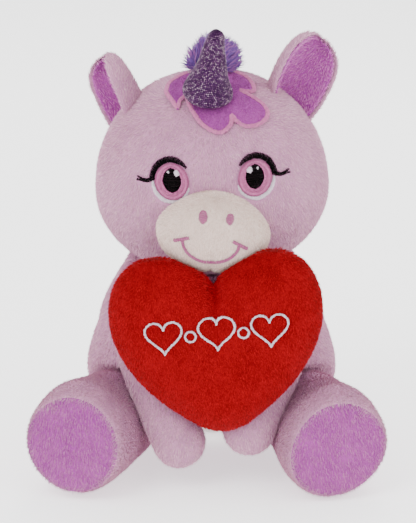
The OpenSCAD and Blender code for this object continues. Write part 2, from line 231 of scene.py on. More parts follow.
def blade_mesh(name, length, width, bends=1, curl=0.0):
    """One tapered three-sided bundle of fibres along Z, closed at its root and drawn to a point."""
    bm = bmesh.new()
    rings = []
    for k in range(bends):
        s = k / bends
        reach = Vector((curl * s * s, 0.0, length * s))
        half = 0.5 * width * (1.0 - 0.55 * s)
        turns = [math.radians(120.0 * i) for i in range(3)]
        rings.append([bm.verts.new(reach + Vector((half * math.cos(a), half * math.sin(a), 0)))
                      for a in turns])
    tip = bm.verts.new((curl, 0.0, length))
    for low, high in zip(rings, rings[1:]):
        for i in range(3):
            bm.faces.new((low[i], low[(i + 1) % 3], high[(i + 1) % 3], high[i]))
    for i in range(3):
        bm.faces.new((rings[-1][i], rings[-1][(i + 1) % 3], tip))
    bm.faces.new(rings[0][::-1])
    mesh = bpy.data.meshes.new(name)
    bm.to_mesh(mesh)
    bm.free()
    return mesh


def pile_tree():
    """Node tree that plants blades on a surface, brushed along a nap and kept clear of another object."""
    tree = bpy.data.node_groups.new("planted_pile", "GeometryNodeTree")
    face = tree.interface
    face.new_socket("Backing", in_out="INPUT", socket_type="NodeSocketGeometry")
    for name, kind in (
        ("Blade", "NodeSocketObject"),
        ("Keep clear of", "NodeSocketObject"),
        ("Clear distance", "NodeSocketFloat"),
        ("Blades per square metre", "NodeSocketFloat"),
        ("Nap", "NodeSocketVector"),
        ("Lean", "NodeSocketFloat"),
        ("Swirl", "NodeSocketFloat"),
        ("Seed", "NodeSocketInt"),
        ("Fibre 1", "NodeSocketMaterial"),
        ("Fibre 2", "NodeSocketMaterial"),
        ("Fibre 3", "NodeSocketMaterial"),
    ):
        face.new_socket(name, in_out="INPUT", socket_type=kind)
    face.new_socket("Pile", in_out="OUTPUT", socket_type="NodeSocketGeometry")
    given = add(tree, "NodeGroupInput").outputs
    spread = add(tree, "GeometryNodeDistributePointsOnFaces", {"distribute_method": "RANDOM"},
                 Mesh=given["Backing"], Density=given["Blades per square metre"], Seed=given["Seed"])
    other = add(tree, "GeometryNodeObjectInfo", Object=given["Keep clear of"])
    near = add(tree, "GeometryNodeProximity", {"target_element": "FACES"}, i0=other.outputs["Geometry"])
    close = add(tree, "FunctionNodeCompare", {"operation": "LESS_THAN"},
                i0=near.outputs["Distance"], i1=given["Clear distance"])
    both = add(tree, "FunctionNodeBooleanMath", {"operation": "AND"},
               i0=close.outputs[0], i1=near.outputs["Is Valid"])
    kept = add(tree, "GeometryNodeDeleteGeometry", {"domain": "POINT"},
               Geometry=spread.outputs["Points"], Selection=both.outputs[0])
    normal = add(tree, "GeometryNodeCaptureAttribute", {"domain": "POINT"}, Geometry=spread.outputs["Points"])
    normal.capture_items.new("VECTOR", "Outward")
    tree.links.new(spread.outputs["Normal"], normal.inputs[1])
    tree.links.new(normal.outputs["Geometry"], kept.inputs["Geometry"])
    outward = normal.outputs[1]
    where = add(tree, "GeometryNodeInputPosition").outputs[0]
    wave = add(tree, "ShaderNodeTexNoise", Vector=where, Scale=45.0, Detail=1.0)
    centred = add(tree, "ShaderNodeVectorMath", {"operation": "SUBTRACT"}, i0=wave.outputs["Color"],
                  i1=(0.5, 0.5, 0.5))
    swirl = add(tree, "ShaderNodeVectorMath", {"operation": "SCALE"}, i0=centred.outputs[0],
                Scale=given["Swirl"])
    flow = add(tree, "ShaderNodeVectorMath", {"operation": "ADD"}, i0=given["Nap"], i1=swirl.outputs[0])
    rise = add(tree, "ShaderNodeVectorMath", {"operation": "PROJECT"}, i0=flow.outputs[0], i1=outward)
    along = add(tree, "ShaderNodeVectorMath", {"operation": "SUBTRACT"}, i0=flow.outputs[0],
                i1=rise.outputs[0])
    unit = add(tree, "ShaderNodeVectorMath", {"operation": "NORMALIZE"}, i0=along.outputs[0])
    lain = add(tree, "ShaderNodeVectorMath", {"operation": "SCALE"}, i0=unit.outputs[0], Scale=given["Lean"])
    stray = add(tree, "FunctionNodeRandomValue", {"data_type": "FLOAT_VECTOR"}, i0=(-0.35, -0.35, -0.35),
                i1=(0.35, 0.35, 0.35))
    tree.links.new(given["Seed"], stray.inputs["Seed"])
    brushed = add(tree, "ShaderNodeVectorMath", {"operation": "ADD"}, i0=lain.outputs[0], i1=outward)
    way = add(tree, "ShaderNodeVectorMath", {"operation": "ADD"}, i0=brushed.outputs[0], i1=stray.outputs[0])
    turned = add(tree, "FunctionNodeAlignRotationToVector", {"axis": "Z"}, Vector=way.outputs[0])
    spin = add(tree, "FunctionNodeRandomValue", {"data_type": "FLOAT"}, i2=0.0, i3=6.283)
    spun = add(tree, "FunctionNodeAxisAngleToRotation", Axis=(0.0, 0.0, 1.0), Angle=spin.outputs[1])
    facing = add(tree, "FunctionNodeRotateRotation", {"rotation_space": "LOCAL"},
                 Rotation=turned.outputs[0], Rotate_By=spun.outputs[0])
    size = add(tree, "FunctionNodeRandomValue", {"data_type": "FLOAT"}, i2=0.65, i3=1.15, Seed=7)
    blade = add(tree, "GeometryNodeObjectInfo", Object=given["Blade"])
    planted = add(tree, "GeometryNodeInstanceOnPoints", Points=kept.outputs[0],
                  Instance=blade.outputs["Geometry"],
                  Rotation=facing.outputs[0], Scale=size.outputs[1])
    pick = add(tree, "FunctionNodeRandomValue", {"data_type": "INT"}, i4=0, i5=2, Seed=3)
    marked = add(tree, "GeometryNodeStoreNamedAttribute", {"data_type": "INT", "domain": "INSTANCE"},
                 Geometry=planted.outputs[0], Name="tint", Value=pick.outputs[2])
    real = add(tree, "GeometryNodeRealizeInstances", Geometry=marked.outputs[0])
    tint = add(tree, "GeometryNodeInputNamedAttribute", {"data_type": "INT"}, Name="tint").outputs[0]
    geometry = real.outputs[0]
    for k in range(3):
        chosen = add(tree, "FunctionNodeCompare", {"data_type": "INT", "operation": "EQUAL"}, i2=tint, i3=k)
        coloured = add(tree, "GeometryNodeSetMaterial", Geometry=geometry, Selection=chosen.outputs[0],
                       Material=given[f"Fibre {k + 1}"])
        geometry = coloured.outputs[0]
    done = add(tree, "NodeGroupOutput")
    tree.links.new(geometry, done.inputs[0])
    return tree


PILE = pile_tree()


def sockets_of(tree):
    """Identifiers of a node tree's inputs, by name."""
    return {s.name: s.identifier for s in tree.interface.items_tree
            if s.item_type == "SOCKET" and s.in_out == "INPUT"}


def baked(obj):
    """Plain mesh of an object with its modifiers carried out."""
    return bpy.data.meshes.new_from_object(obj.evaluated_get(bpy.context.evaluated_depsgraph_get()))


def grow_pile(name, backing_mesh, blade, fibres, per_mm2, nap, lean, swirl, seed, clear_of=None,
              clear=1.1 * MM):
    """Plants pile on a backing and returns it as a plain mesh object."""
    carrier = link(name + "_carrier", backing_mesh.copy())
    plant = carrier.modifiers.new("pile", "NODES")
    plant.node_group = PILE
    sockets = sockets_of(PILE)
    values = {
        "Blade": blade, "Keep clear of": clear_of, "Clear distance": clear,
        "Blades per square metre": per_mm2 * 1e6, "Nap": nap, "Lean": lean, "Swirl": swirl, "Seed": seed,
        "Fibre 1": fibres[0], "Fibre 2": fibres[1], "Fibre 3": fibres[2],
    }
    for key, value in values.items():
        plant[sockets[key]] = value
    grown = baked(carrier)
    grown.name = name
    bpy.data.objects.remove(carrier)
    return link(name, grown)


def hidden_tool(name, mesh):
    """An object that other pieces are made with, which is deleted at the end."""
    tool = link(name, mesh)
    tools.append(tool)
    return tool


tools = []
# plush, and a shorter and finer velour for the muzzle, the forelock and the front of the heart
short_blade = hidden_tool("short_blade", blade_mesh("short_blade", 1.7 * MM, 0.36 * MM))
velour_blade = hidden_tool("velour_blade", blade_mesh("velour_blade", 1.15 * MM, 0.34 * MM))

# ---- Muzzle ----
# A cream plush panel, wide over the cheeks and narrow at the bridge of the nose, stuffed and sewn to
# the face all round, with a short seam under the chin.
muzzle_at = Vector((0.0, -45.0, -16.0)) * MM
muzzle_half = Vector((25.5, 18.5, 18.8)) * MM
muzzle_roll = math.radians(5.0)
to_muzzle = to_head @ Matrix.Translation(muzzle_at) @ Matrix.Rotation(muzzle_roll + head_roll, 4, "Y")

cream_backing = short_pile("cream_plush_backing", "#d1beb3", "#c2ada3")
cream_pile = pile_fibres("cream_pile", ("#dec7be", "#d4bab1", "#e4cfc8"))


def muzzle_shape(way):
    """Flattened ball: narrow at the bridge of the nose, full over the lips, drawn in under the chin."""
    power = 2.3
    fullness = sum(abs(way[k]) ** power for k in range(3)) ** (-1.0 / power)
    p = Vector([way[k] * fullness * (muzzle_half[k] - 0.6 * MM) for k in range(3)])
    height = p.z / muzzle_half.z
    p.x *= 0.99 - 0.34 * max(0.0, height) ** 1.4 - 0.12 * max(0.0, -height) ** 2
    p.z -= 0.7 * MM * max(0.0, height)
    chin = abs(p.x) if p.z < -0.35 * muzzle_half.z else 1.0
    return p - way * groove(chin, 1.5 * MM, 1.0 * MM)


muzzle_mesh = quad_ball(30, muzzle_shape)
muzzle_mesh.transform(to_muzzle)
muzzle = finish_mesh(link("muzzle_cover", muzzle_mesh), cream_backing)

# ---- Embroidery thread ----
# Trilobal polyester embroidery thread, 0.4 mm thick, laid in satin stitch: each stitch crosses the
# whole width of its shape, arched over the fabric, so the shape shines like a row of fine cords.


def thread_material(name, colour, shade, sheen=0.1):
    """Shiny twisted thread of one colour."""
    made, tree, shader = new_material(name)
    place = add(tree, "ShaderNodeTexCoord").outputs["Object"]
    twist = add(tree, "ShaderNodeTexNoise", Vector=place, Scale=900.0, Detail=1.0)
    tone = add(tree, "ShaderNodeMix", {"data_type": "RGBA"}, i0=twist.outputs["Fac"], i6=linear(shade),
               i7=linear(colour))
    tree.links.new(tone.outputs[2], shader.inputs["Base Color"])
    shader.inputs["Roughness"].default_value = 0.45
    shader.inputs["Specular IOR Level"].default_value = 0.25
    shader.inputs["Sheen Weight"].default_value = sheen
    return made


pink_thread = thread_material("pink_satin_thread", "#cf78a6", "#9c4a7c")
black_thread = thread_material("black_satin_thread", "#040303", "#010101", 0.0)
black_thread.node_tree.nodes["Principled BSDF"].inputs["Specular IOR Level"].default_value = 0.03
rose_thread = thread_material("rose_satin_thread", "#b05a88", "#7c3460")
white_thread = thread_material("white_satin_thread", "#e6dbe4", "#bfb0be")


def thread_tree():
    """Node tree that turns edge lines into round closed threads."""
    tree = bpy.data.node_groups.new("laid_thread", "GeometryNodeTree")
    face = tree.interface
    face.new_socket("Lines", in_out="INPUT", socket_type="NodeSocketGeometry")
    face.new_socket("Thread radius", in_out="INPUT", socket_type="NodeSocketFloat")
    face.new_socket("Thread", in_out="INPUT", socket_type="NodeSocketMaterial")
    face.new_socket("Threads", in_out="OUTPUT", socket_type="NodeSocketGeometry")
    given = add(tree, "NodeGroupInput").outputs
    line = add(tree, "GeometryNodeMeshToCurve", Mesh=given["Lines"])
    ring = add(tree, "GeometryNodeCurvePrimitiveCircle", Resolution=5, Radius=given["Thread radius"])
    tube = add(tree, "GeometryNodeCurveToMesh", Curve=line.outputs[0], Profile_Curve=ring.outputs[0],
               Fill_Caps=True)
    real = add(tree, "GeometryNodeRealizeInstances", Geometry=tube.outputs[0])
    done = add(tree, "GeometryNodeSetMaterial", Geometry=real.outputs[0], Material=given["Thread"])
    tree.links.new(done.outputs[0], add(tree, "NodeGroupOutput").inputs[0])
    return tree


THREAD = thread_tree()


def sew(name, stitches, material, radius=0.2 * MM):
    """Makes one piece from stitches, each a list of points."""
    points = [p for s in stitches for p in s]
    edges, start = [], 0
    for s in stitches:
        edges += [(start + i, start + i + 1) for i in range(len(s) - 1)]
        start += len(s)
    lines = bpy.data.meshes.new(name)
    lines.from_pydata(points, edges, [])
    carrier = link(name + "_lines", lines)
    lay = carrier.modifiers.new("thread", "NODES")
    lay.node_group = THREAD
    sockets = sockets_of(THREAD)
    lay[sockets["Thread radius"]] = radius
    lay[sockets["Thread"]] = material
    made = baked(carrier)
    made.name = name
    for f in made.polygons:
        f.use_smooth = True
    bpy.data.objects.remove(carrier)
    return link(name, made)


def surface_of(obj):
    """Search tree over a piece's surface, in place."""
    return BVHTree.FromPolygons([v.co.copy() for v in obj.data.vertices],
                                [tuple(p.vertices) for p in obj.data.polygons])


head_skin = surface_of(head)
muzzle_skin = surface_of(muzzle)


def seen_from_front(skin, placed):
    """Lays flat x, z points of a frame onto a skin from the front, at a height above it."""

    def lay(x, z, lift):
        """Point on the skin straight behind (x, z), lifted off it."""
        start = placed @ Vector((x, -0.2, z))
        way = (placed.to_3x3() @ Vector((0.0, 1.0, 0.0))).normalized()
        hit, normal, _, _ = skin.ray_cast(start, way)
        return hit + normal * lift

    return lay


on_face = seen_from_front(head_skin, to_head)
on_muzzle = seen_from_front(muzzle_skin, to_muzzle)
rng = np.random.default_rng(12)


def satin(lay, path, widths, pitch=0.4 * MM, height=1.0 * MM, arch=0.35 * MM):
    """Stitches that cross a path at an even pitch. widths holds the full width at each path point."""
    path = [Vector((p[0], p[1])) for p in path]
    runs = [0.0]
    for a, b in zip(path, path[1:]):
        runs.append(runs[-1] + (b - a).length)
    stitches = []
    for k in range(int(runs[-1] / pitch) + 1):
        s = min(k * pitch, runs[-1] * 0.9999)
        i = max(j for j in range(len(path) - 1) if runs[j] <= s)
        t = (s - runs[i]) / (runs[i + 1] - runs[i])
        middle = path[i].lerp(path[i + 1], t)
        half = 0.5 * (widths[i] * (1 - t) + widths[i + 1] * t)
        run = (path[min(i + 2, len(path) - 1)] - path[max(i - 1, 0)]).normalized()
        across = Vector((-run.y, run.x))
        ends = 0.16 * MM * rng.uniform(-1, 1, 2)
        rise = height + 0.09 * MM * rng.uniform(-1, 1)
        steps = max(3, min(7, int(half / (0.5 * MM)) + 2))
        line = []
        for j in range(steps):
            u = -1.0 + 2.0 * j / (steps - 1)
            q = middle + across * (u * half + (ends[0] if u < 0 else ends[1]))
            line.append(lay(q.x, q.y, rise + arch * (1 - u * u) - (0.5 * MM if abs(u) == 1.0 else 0.0)))
        stitches.append(line)
    return stitches


def oval(cx, cz, w, h, start=0.0, stop=360.0, steps=48):
    """Points round an ellipse, between two angles."""
    angles = [math.radians(start + (stop - start) * i / steps) for i in range(steps + 1)]
    return [(cx + 0.5 * w * math.cos(a), cz + 0.5 * h * math.sin(a)) for a in angles]


# ---- Eyes ----
# Each eye is one embroidery: a white crescent under a pink iris, rose lines round the iris and the pupil,
# two white glints on the black pupil, and a heavy black upper lash line with a forked flick at its end.
eye_x = 17.9 * MM
eye_shift = 1.0 * MM
eye_z = 5.8 * MM
iris_w = 14.2 * MM
iris_h = 15.4 * MM
pupil_w = 8.0 * MM
pupil_h = 10.4 * MM
embroidery = []


def keep(piece, body, slot, *nodes):
    """Lets a piece ride on its body and stand for its CAD nodes, which it hides; the slot is not used."""
    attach(piece, body)
    if nodes:
        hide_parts(*nodes)
    return piece


def stitched(name, stitches, thread, slot, *nodes):
    """Sews one part of the face's embroidery."""
    return keep(sew(name, stitches, thread), "head", slot, *nodes)


for side, name in ((-1, "left"), (1, "right")):
    cx = side * eye_x + eye_shift
    ring = 0.5 * (iris_w - pupil_w) * 0.5
    outer_ring = oval(cx, eye_z, iris_w - ring, iris_h - 0.5 * (iris_h - pupil_h) * 0.5)
    inner_ring = oval(cx, eye_z + 0.4 * MM, pupil_w + ring, pupil_h + 0.5 * (iris_h - pupil_h) * 0.5)
    iris = satin(on_face, outer_ring, [ring] * 49) + satin(on_face, inner_ring, [ring] * 49)
    embroidery.append(stitched(f"{name}_iris_stitches", iris, pink_thread, "pink_thread", f"{name}_iris"))
    rim = satin(on_face, oval(cx, eye_z, iris_w - 0.3 * MM, iris_h - 0.3 * MM), [0.55 * MM] * 49,
                height=1.3 * MM)
    rim += satin(on_face, oval(cx, eye_z + 0.5 * MM, pupil_w + 1.5 * MM, pupil_h + 1.4 * MM), [0.4 * MM] * 49,
                 height=1.3 * MM)
    embroidery.append(stitched(f"{name}_iris_rim_stitches", rim, rose_thread, "pink_thread"))
    tall = [(cx, eye_z + 0.8 * MM + 0.5 * pupil_h * (2.0 * i / 24 - 1.0)) for i in range(25)]
    wide = [pupil_w * math.sqrt(max(0.02, 1.0 - (2.0 * i / 24 - 1.0) ** 2)) for i in range(25)]
    pupil = satin(on_face, tall, wide, height=1.1 * MM)
    embroidery.append(stitched(f"{name}_pupil_stitches", pupil, black_thread, "black_thread",
                               f"{name}_pupil"))
    glints = []
    for gx, gz, d in ((-side * 2.2 * MM, 3.9 * MM, 2.7 * MM), (side * 1.2 * MM, 4.4 * MM, 1.2 * MM)):
        rows = [(cx + gx, eye_z + gz + 0.5 * d * (2.0 * i / 8 - 1.0)) for i in range(9)]
        across = [d * math.sqrt(max(0.05, 1.0 - (2.0 * i / 8 - 1.0) ** 2)) for i in range(9)]
        glints += satin(on_face, rows, across, height=1.6 * MM)
    embroidery.append(stitched(f"{name}_glint_stitches", glints, white_thread, "white_thread",
                               f"{name}_glints"))
    # the crescent is fuller toward the outer corner
    first, last = (178.0, 345.0) if side < 0 else (195.0, 362.0)
    under = oval(cx + side * 0.5 * MM, eye_z - 0.3 * MM, iris_w + 1.6 * MM, iris_h + 1.5 * MM, first, last)
    fade = [0.6 * MM + 1.3 * MM * math.sin(math.pi * i / 48) ** 0.6 for i in range(49)]
    white = satin(on_face, under, fade, height=0.8 * MM)
    embroidery.append(stitched(f"{name}_eye_white_stitches", white, white_thread, "white_thread",
                               f"{name}_eye_white"))
    first, last = (38.0, 178.0) if side < 0 else (142.0, 2.0)
    over = oval(cx + side * 0.3 * MM, eye_z + 0.2 * MM, iris_w + 2.6 * MM, iris_h + 3.4 * MM, first, last)
    heavy = [(0.9 + 1.5 * min(1.0, i / 10.0)) * MM for i in range(49)]
    lash = satin(on_face, over, heavy, height=1.2 * MM)
    corner = Vector(over[-1])
    out = Vector((side, 0.0))
    flick = [corner + Vector((0, 0.4 * MM)), corner + out * 2.6 * MM + Vector((0, -0.3 * MM)),
             corner + out * 6.4 * MM + Vector((0, -0.1 * MM))]
    spur = flick[1] + out * 3.6 * MM + Vector((0, 1.7 * MM))
    lash += satin(on_face, flick, [1.9 * MM, 1.6 * MM, 0.7 * MM], height=1.2 * MM)
    lash += satin(on_face, [flick[1] + out * 0.6 * MM, spur], [1.3 * MM, 0.6 * MM], height=1.2 * MM)
    embroidery.append(stitched(f"{name}_lash_stitches", lash, black_thread, "black_thread", f"{name}_lashes"))

# ---- Nostrils and smile ----
# Two small satin ovals, and a narrow satin line with a short tick across each end.
mouth = []
for x, w, h in ((-5.2, 3.7, 5.2), (6.4, 3.4, 4.4)):
    rows = [(x * MM, (9.0 + 0.5 * h * (2.0 * i / 12 - 1.0)) * MM) for i in range(13)]
    across = [w * MM * math.sqrt(max(0.08, 1.0 - (2.0 * i / 12 - 1.0) ** 2)) for i in range(13)]
    mouth += satin(on_muzzle, rows, across, height=0.8 * MM)
nostrils = stitched("nostril_stitches", mouth, rose_thread, "pink_thread", "nostrils")
grin = oval(-0.9 * MM, -1.5 * MM, 24.4 * MM, 18.4 * MM, 184.0, 356.0)
smile_lines = satin(on_muzzle, grin, [1.15 * MM] * 49, height=0.8 * MM)
for side in (-1, 1):
    end = Vector(grin[0] if side < 0 else grin[-1])
    tick = [end + Vector((side * 3.4, -1.0 if side > 0 else -0.4)) * MM,
            end + Vector((-side * 2.8, 1.9)) * MM]
    smile_lines += satin(on_muzzle, tick, [1.3 * MM, 1.3 * MM], height=0.9 * MM)
smile = stitched("smile_stitches", smile_lines, rose_thread, "pink_thread", "smile")

# ---- Forelock ----
# A lobed patch of violet plush round the horn's root, with a pink satin-stitch border over its edge.
violet_backing = short_pile("violet_plush_backing", "#9e4796", "#843380")
violet_pile = pile_fibres("violet_pile", ("#9c4690", "#8e3b85", "#ab579c"))


def over_crown(skin, placed):
    """Lays points given as x and the way forward from the crown, measured over the head."""

    def lay(x, forward, lift):
        """Point on the crown, at x across and a way forward round it, lifted off it."""
        turn = forward / head_half.z
        start = placed @ Vector((x, 0.0, 0.0))
        way = (placed.to_3x3() @ Vector((0.0, -math.sin(turn), math.cos(turn)))).normalized()
        hit, normal, _, _ = skin.ray_cast(start, way)
        if normal.dot(way) < 0:
            normal = -normal
        return hit + normal * lift

    return lay


on_crown = over_crown(head_skin, to_head)


def rounded(points, steps=8):
    """Smooth run through points, as a Catmull-Rom curve."""
    points = [Vector(p) for p in points]
    ends = [points[0]] + points + [points[-1]]
    run = []
    for a, b, c, d in zip(ends, ends[1:], ends[2:], ends[3:]):
        for k in range(steps):
            t = k / steps
            run.append(0.5 * ((2 * b) + (c - a) * t + (2 * a - 5 * b + 4 * c - d) * t * t
                              + (3 * b - a - 3 * c + d) * t ** 3))
    return run + [points[-1]]


# each run is one lobe's edge, in millimetres: x, and the way forward from the crown
lobe_runs = [
    [(-10, 3), (-17.5, 10), (-19.5, 18), (-17.5, 25), (-14.5, 31.5)],
    [(-14.5, 31.5), (-13.2, 27), (-10.2, 24.5)],
    [(-10.2, 24.5), (-8.5, 32), (-3.5, 40.5), (4, 44.8), (9.3, 41.5), (10.2, 36.5)],
    [(10.2, 36.5), (13.5, 40.3), (18, 41.6), (23.5, 39.3), (26.8, 34), (25.2, 28.5), (19.5, 24.5),
     (14.5, 21.5)],
    [(14.5, 21.5), (18.5, 21.5), (21, 19.5), (20.3, 13), (17.5, 7), (13, 3)],
]
border_runs = [[Vector((p.x * 0.93 + 0.4, p.y + 1.4)) * MM for p in rounded(run)] for run in lobe_runs]
outline = [p for run in border_runs for p in run[:-1]] + [Vector((12.5, 4.4)) * MM, Vector((0, 0)) * MM]


def inside(point, loop):
    """Even-odd test of a flat point against a loop."""
    hit = False
    for a, b in zip(loop, loop[1:] + loop[:1]):
        if (a.y > point.y) != (b.y > point.y) and point.x < (b.x - a.x) * (point.y - a.y) / (b.y - a.y) + a.x:
            hit = not hit
    return hit


patch_step = 0.8 * MM
cells = {}
patch_verts, patch_faces = [], []


def patch_corner(i, j):
    """Number of the corner at one place of the grid, made once."""
    if (i, j) not in cells:
        cells[(i, j)] = len(patch_verts)
        patch_verts.append(on_crown(i * patch_step, j * patch_step, 1.1 * MM))
    return cells[(i, j)]


for i in range(-26, 35):
    for j in range(-4, 58):
        middle = Vector(((i + 0.5) * patch_step, (j + 0.5) * patch_step))
        if inside(middle, outline):
            patch_faces.append([patch_corner(i, j), patch_corner(i + 1, j), patch_corner(i + 1, j + 1),
                                patch_corner(i, j + 1)])
patch_mesh = bpy.data.meshes.new("forelock_patch_cover")
patch_mesh.from_pydata(patch_verts, [], patch_faces)
if patch_mesh.polygons[0].normal.dot(patch_mesh.polygons[0].center - head_at) < 0:
    patch_mesh.flip_normals()
forelock_cover = finish_mesh(link("forelock_patch_cover", patch_mesh), violet_backing)
thickness = forelock_cover.modifiers.new("thickness", "SOLIDIFY")
thickness.thickness = 1.0 * MM
thickness.offset = -1.0
border = []
for run in border_runs:
    border += satin(on_crown, run, [1.6 * MM] * len(run), height=1.8 * MM, arch=0.45 * MM)
forelock_border = stitched("forelock_border_stitches", border, pink_thread, "pink_thread", "forelock_border")


# ---- Pile of head, muzzle and forelock ----
# The face is brushed outward and down; the embroidery stands in bare fabric, with the pile round it.
def joined(name, objects):
    """One mesh of several pieces, for keeping pile clear of them."""
    bm = bmesh.new()
    for o in objects:
        bm.from_mesh(o.data)
    mesh = bpy.data.meshes.new(name)
    bm.to_mesh(mesh)
    bm.free()
    return hidden_tool(name, mesh)


def part_of(mesh, keeps):
    """Copy of the faces whose middles pass a test."""
    bm = bmesh.new()
    bm.from_mesh(mesh)
    bmesh.ops.delete(bm, geom=[f for f in bm.faces if not keeps(f.calc_center_median())], context="FACES")
    part = bpy.data.meshes.new("part")
    bm.to_mesh(part)
    bm.free()
    return part


patch_flat = bpy.data.meshes.new("patch_flat")
patch_flat.from_pydata(patch_verts, [], patch_faces)
if patch_flat.polygons[0].normal.dot(patch_flat.polygons[0].center - head_at) < 0:
    patch_flat.flip_normals()
face_clear = joined("face_stitches", embroidery + [forelock_border, muzzle]
                    + [hidden_tool("patch_flat", patch_flat)])
muzzle_clear = joined("muzzle_stitches", [nostrils, smile])
front_half = part_of(head.data, lambda c: c.y < 0)
back_half = part_of(head.data, lambda c: c.y >= 0)
short_density = 2.2
face_pile = grow_pile("face_pile", front_half, short_blade, lilac_pile, short_density, (0.0, 0.4, -1.0), 1.5,
                      1.8, 1, face_clear)
crown_pile = grow_pile("head_back_pile", back_half, short_blade, lilac_pile, short_density, (0.0, 0.3, -1.0),
                       1.5, 1.6, 2)
muzzle_pile = grow_pile("muzzle_pile", part_of(muzzle.data, lambda c: (to_head.inverted() @ c).y < -30 * MM),
                        velour_blade, cream_pile, 3.2, (0.0, 0.2, -1.0), 1.6, 1.5, 3, muzzle_clear, 0.7 * MM)
border_clear = joined("border_stitches", [forelock_border])
forelock_pile = grow_pile("forelock_pile", patch_flat, velour_blade, violet_pile, 3.2, (0.0, -0.6, -1.0), 1.5,
                          1.2, 4, border_clear, 0.6 * MM)
keep(head, "head", "lilac_plush", "head_face_panel", "head_back_left_panel", "head_back_right_panel",
     "head_stuffing")
keep(face_pile, "head", "lilac_plush")
keep(crown_pile, "head", "lilac_plush")
keep(muzzle, "head", "cream_plush", "muzzle_panel", "muzzle_stuffing")
keep(muzzle_pile, "head", "cream_plush")
keep(forelock_cover, "head", "violet_plush", "forelock_patch")
keep(forelock_pile, "head", "violet_plush")

# ---- Torso ----
# A pear-shaped body of the same lilac plush, sewn from a front and two back panels with a flat weighted
# seat. It is hollowed under the head, and drawn in at its seams round the arms and legs.
torso_foot = Vector((0.0, 17.0, 0.0)) * MM
torso_lean = math.radians(8.0)
girth_heights = [0, 3, 8, 16, 26, 36, 46, 56, 66, 76, 86, 94, 100]
girths = [33, 40, 46.5, 52, 55.5, 56.8, 56.6, 54.4, 51.0, 45.8, 41.0, 37.8, 36.5]
depth_less = 9.5
neck_room = 52.3 * MM
upper_arm_room = 12.3 * MM
lower_arm_room = 12.8 * MM
hip_room = 22.2 * MM
thigh_room = 21.5 * MM
tail_room = 9.5 * MM
side_seam_y = 12.0 * MM
torso_around = 128
torso_top = 98.0
hip_at = {-1: Vector((-43.0, -14.0, 21.3)) * MM, 1: Vector((43.0, -14.0, 21.3)) * MM}
leg_yaw = {-1: math.radians(19.0), 1: math.radians(14.0)}
leg_rise = {-1: math.radians(4.0), 1: math.radians(2.0)}
shoulder_at = {-1: Vector((-33.0, -8.0, 84.0)) * MM, 1: Vector((33.0, -8.0, 84.0)) * MM}
elbow_at = {-1: Vector((-32.0, -31.5, 57.0)) * MM, 1: Vector((32.0, -31.5, 57.0)) * MM}
paw_at = {-1: Vector((-15.0, -51.0, 23.0)) * MM, 1: Vector((14.8, -49.6, 27.3)) * MM}
tail_root = Vector((0.0, 61.0, 34.0)) * MM
leg_way = {
    s: Vector((s * math.sin(leg_yaw[s]) * math.cos(leg_rise[s]),
               -math.cos(leg_yaw[s]) * math.cos(leg_rise[s]), math.sin(leg_rise[s])))
    for s in (-1, 1)
}


def beside(point, a, b):
    """How far a point is from the line between a and b, and how far along it."""
    run = b - a
    t = max(0.0, min(1.0, (point - a).dot(run) / run.length_squared))
    return (point - a - run * t).length, t


def in_hollow(p):
    """True where the head, an arm, a leg or the tail sits in the torso."""
    if (p - head_at).length < neck_room or (p - tail_root).length < tail_room:
        return True
    side = 1 if p.x > 0 else -1
    if beside(p, shoulder_at[side], elbow_at[side])[0] < upper_arm_room:
        return True
    if beside(p, elbow_at[side], paw_at[side])[0] < lower_arm_room:
        return True
    ahead = (p - hip_at[side]).dot(leg_way[side])
    off = (p - hip_at[side] - leg_way[side] * ahead).length
    return (p - hip_at[side]).length < hip_room or (ahead > 0 and off < thigh_room + 0.45 * ahead)


def grid_skin(rows):
    """Closed skin through rows of points, each row a ring. The first and last rows are single points."""
    around = len(rows[1])
    verts = [rows[0][0]] + [p for row in rows[1:-1] for p in row] + [rows[-1][0]]
    last = len(verts) - 1
    faces = [(0, 1 + (i + 1) % around, 1 + i) for i in range(around)]
    for k in range(len(rows) - 3):
        a, b = 1 + k * around, 1 + (k + 1) * around
        faces += [(a + i, a + (i + 1) % around, b + (i + 1) % around, b + i) for i in range(around)]
    a = 1 + (len(rows) - 3) * around
    faces += [(last, a + i, a + (i + 1) % around) for i in range(around)]
    mesh = bpy.data.meshes.new("skin")
    mesh.from_pydata(verts, [], faces)
    bm = bmesh.new()
    bm.from_mesh(mesh)
    bmesh.ops.recalc_face_normals(bm, faces=bm.faces)
    if bm.calc_volume(signed=True) < 0:
        bmesh.ops.reverse_faces(bm, faces=bm.faces)
    bm.to_mesh(mesh)
    bm.free()
    return mesh


torso_core = Vector((0.0, 12.0, 38.0)) * MM
upright = Matrix.Translation(torso_foot) @ Matrix.Rotation(torso_lean, 4, "X")


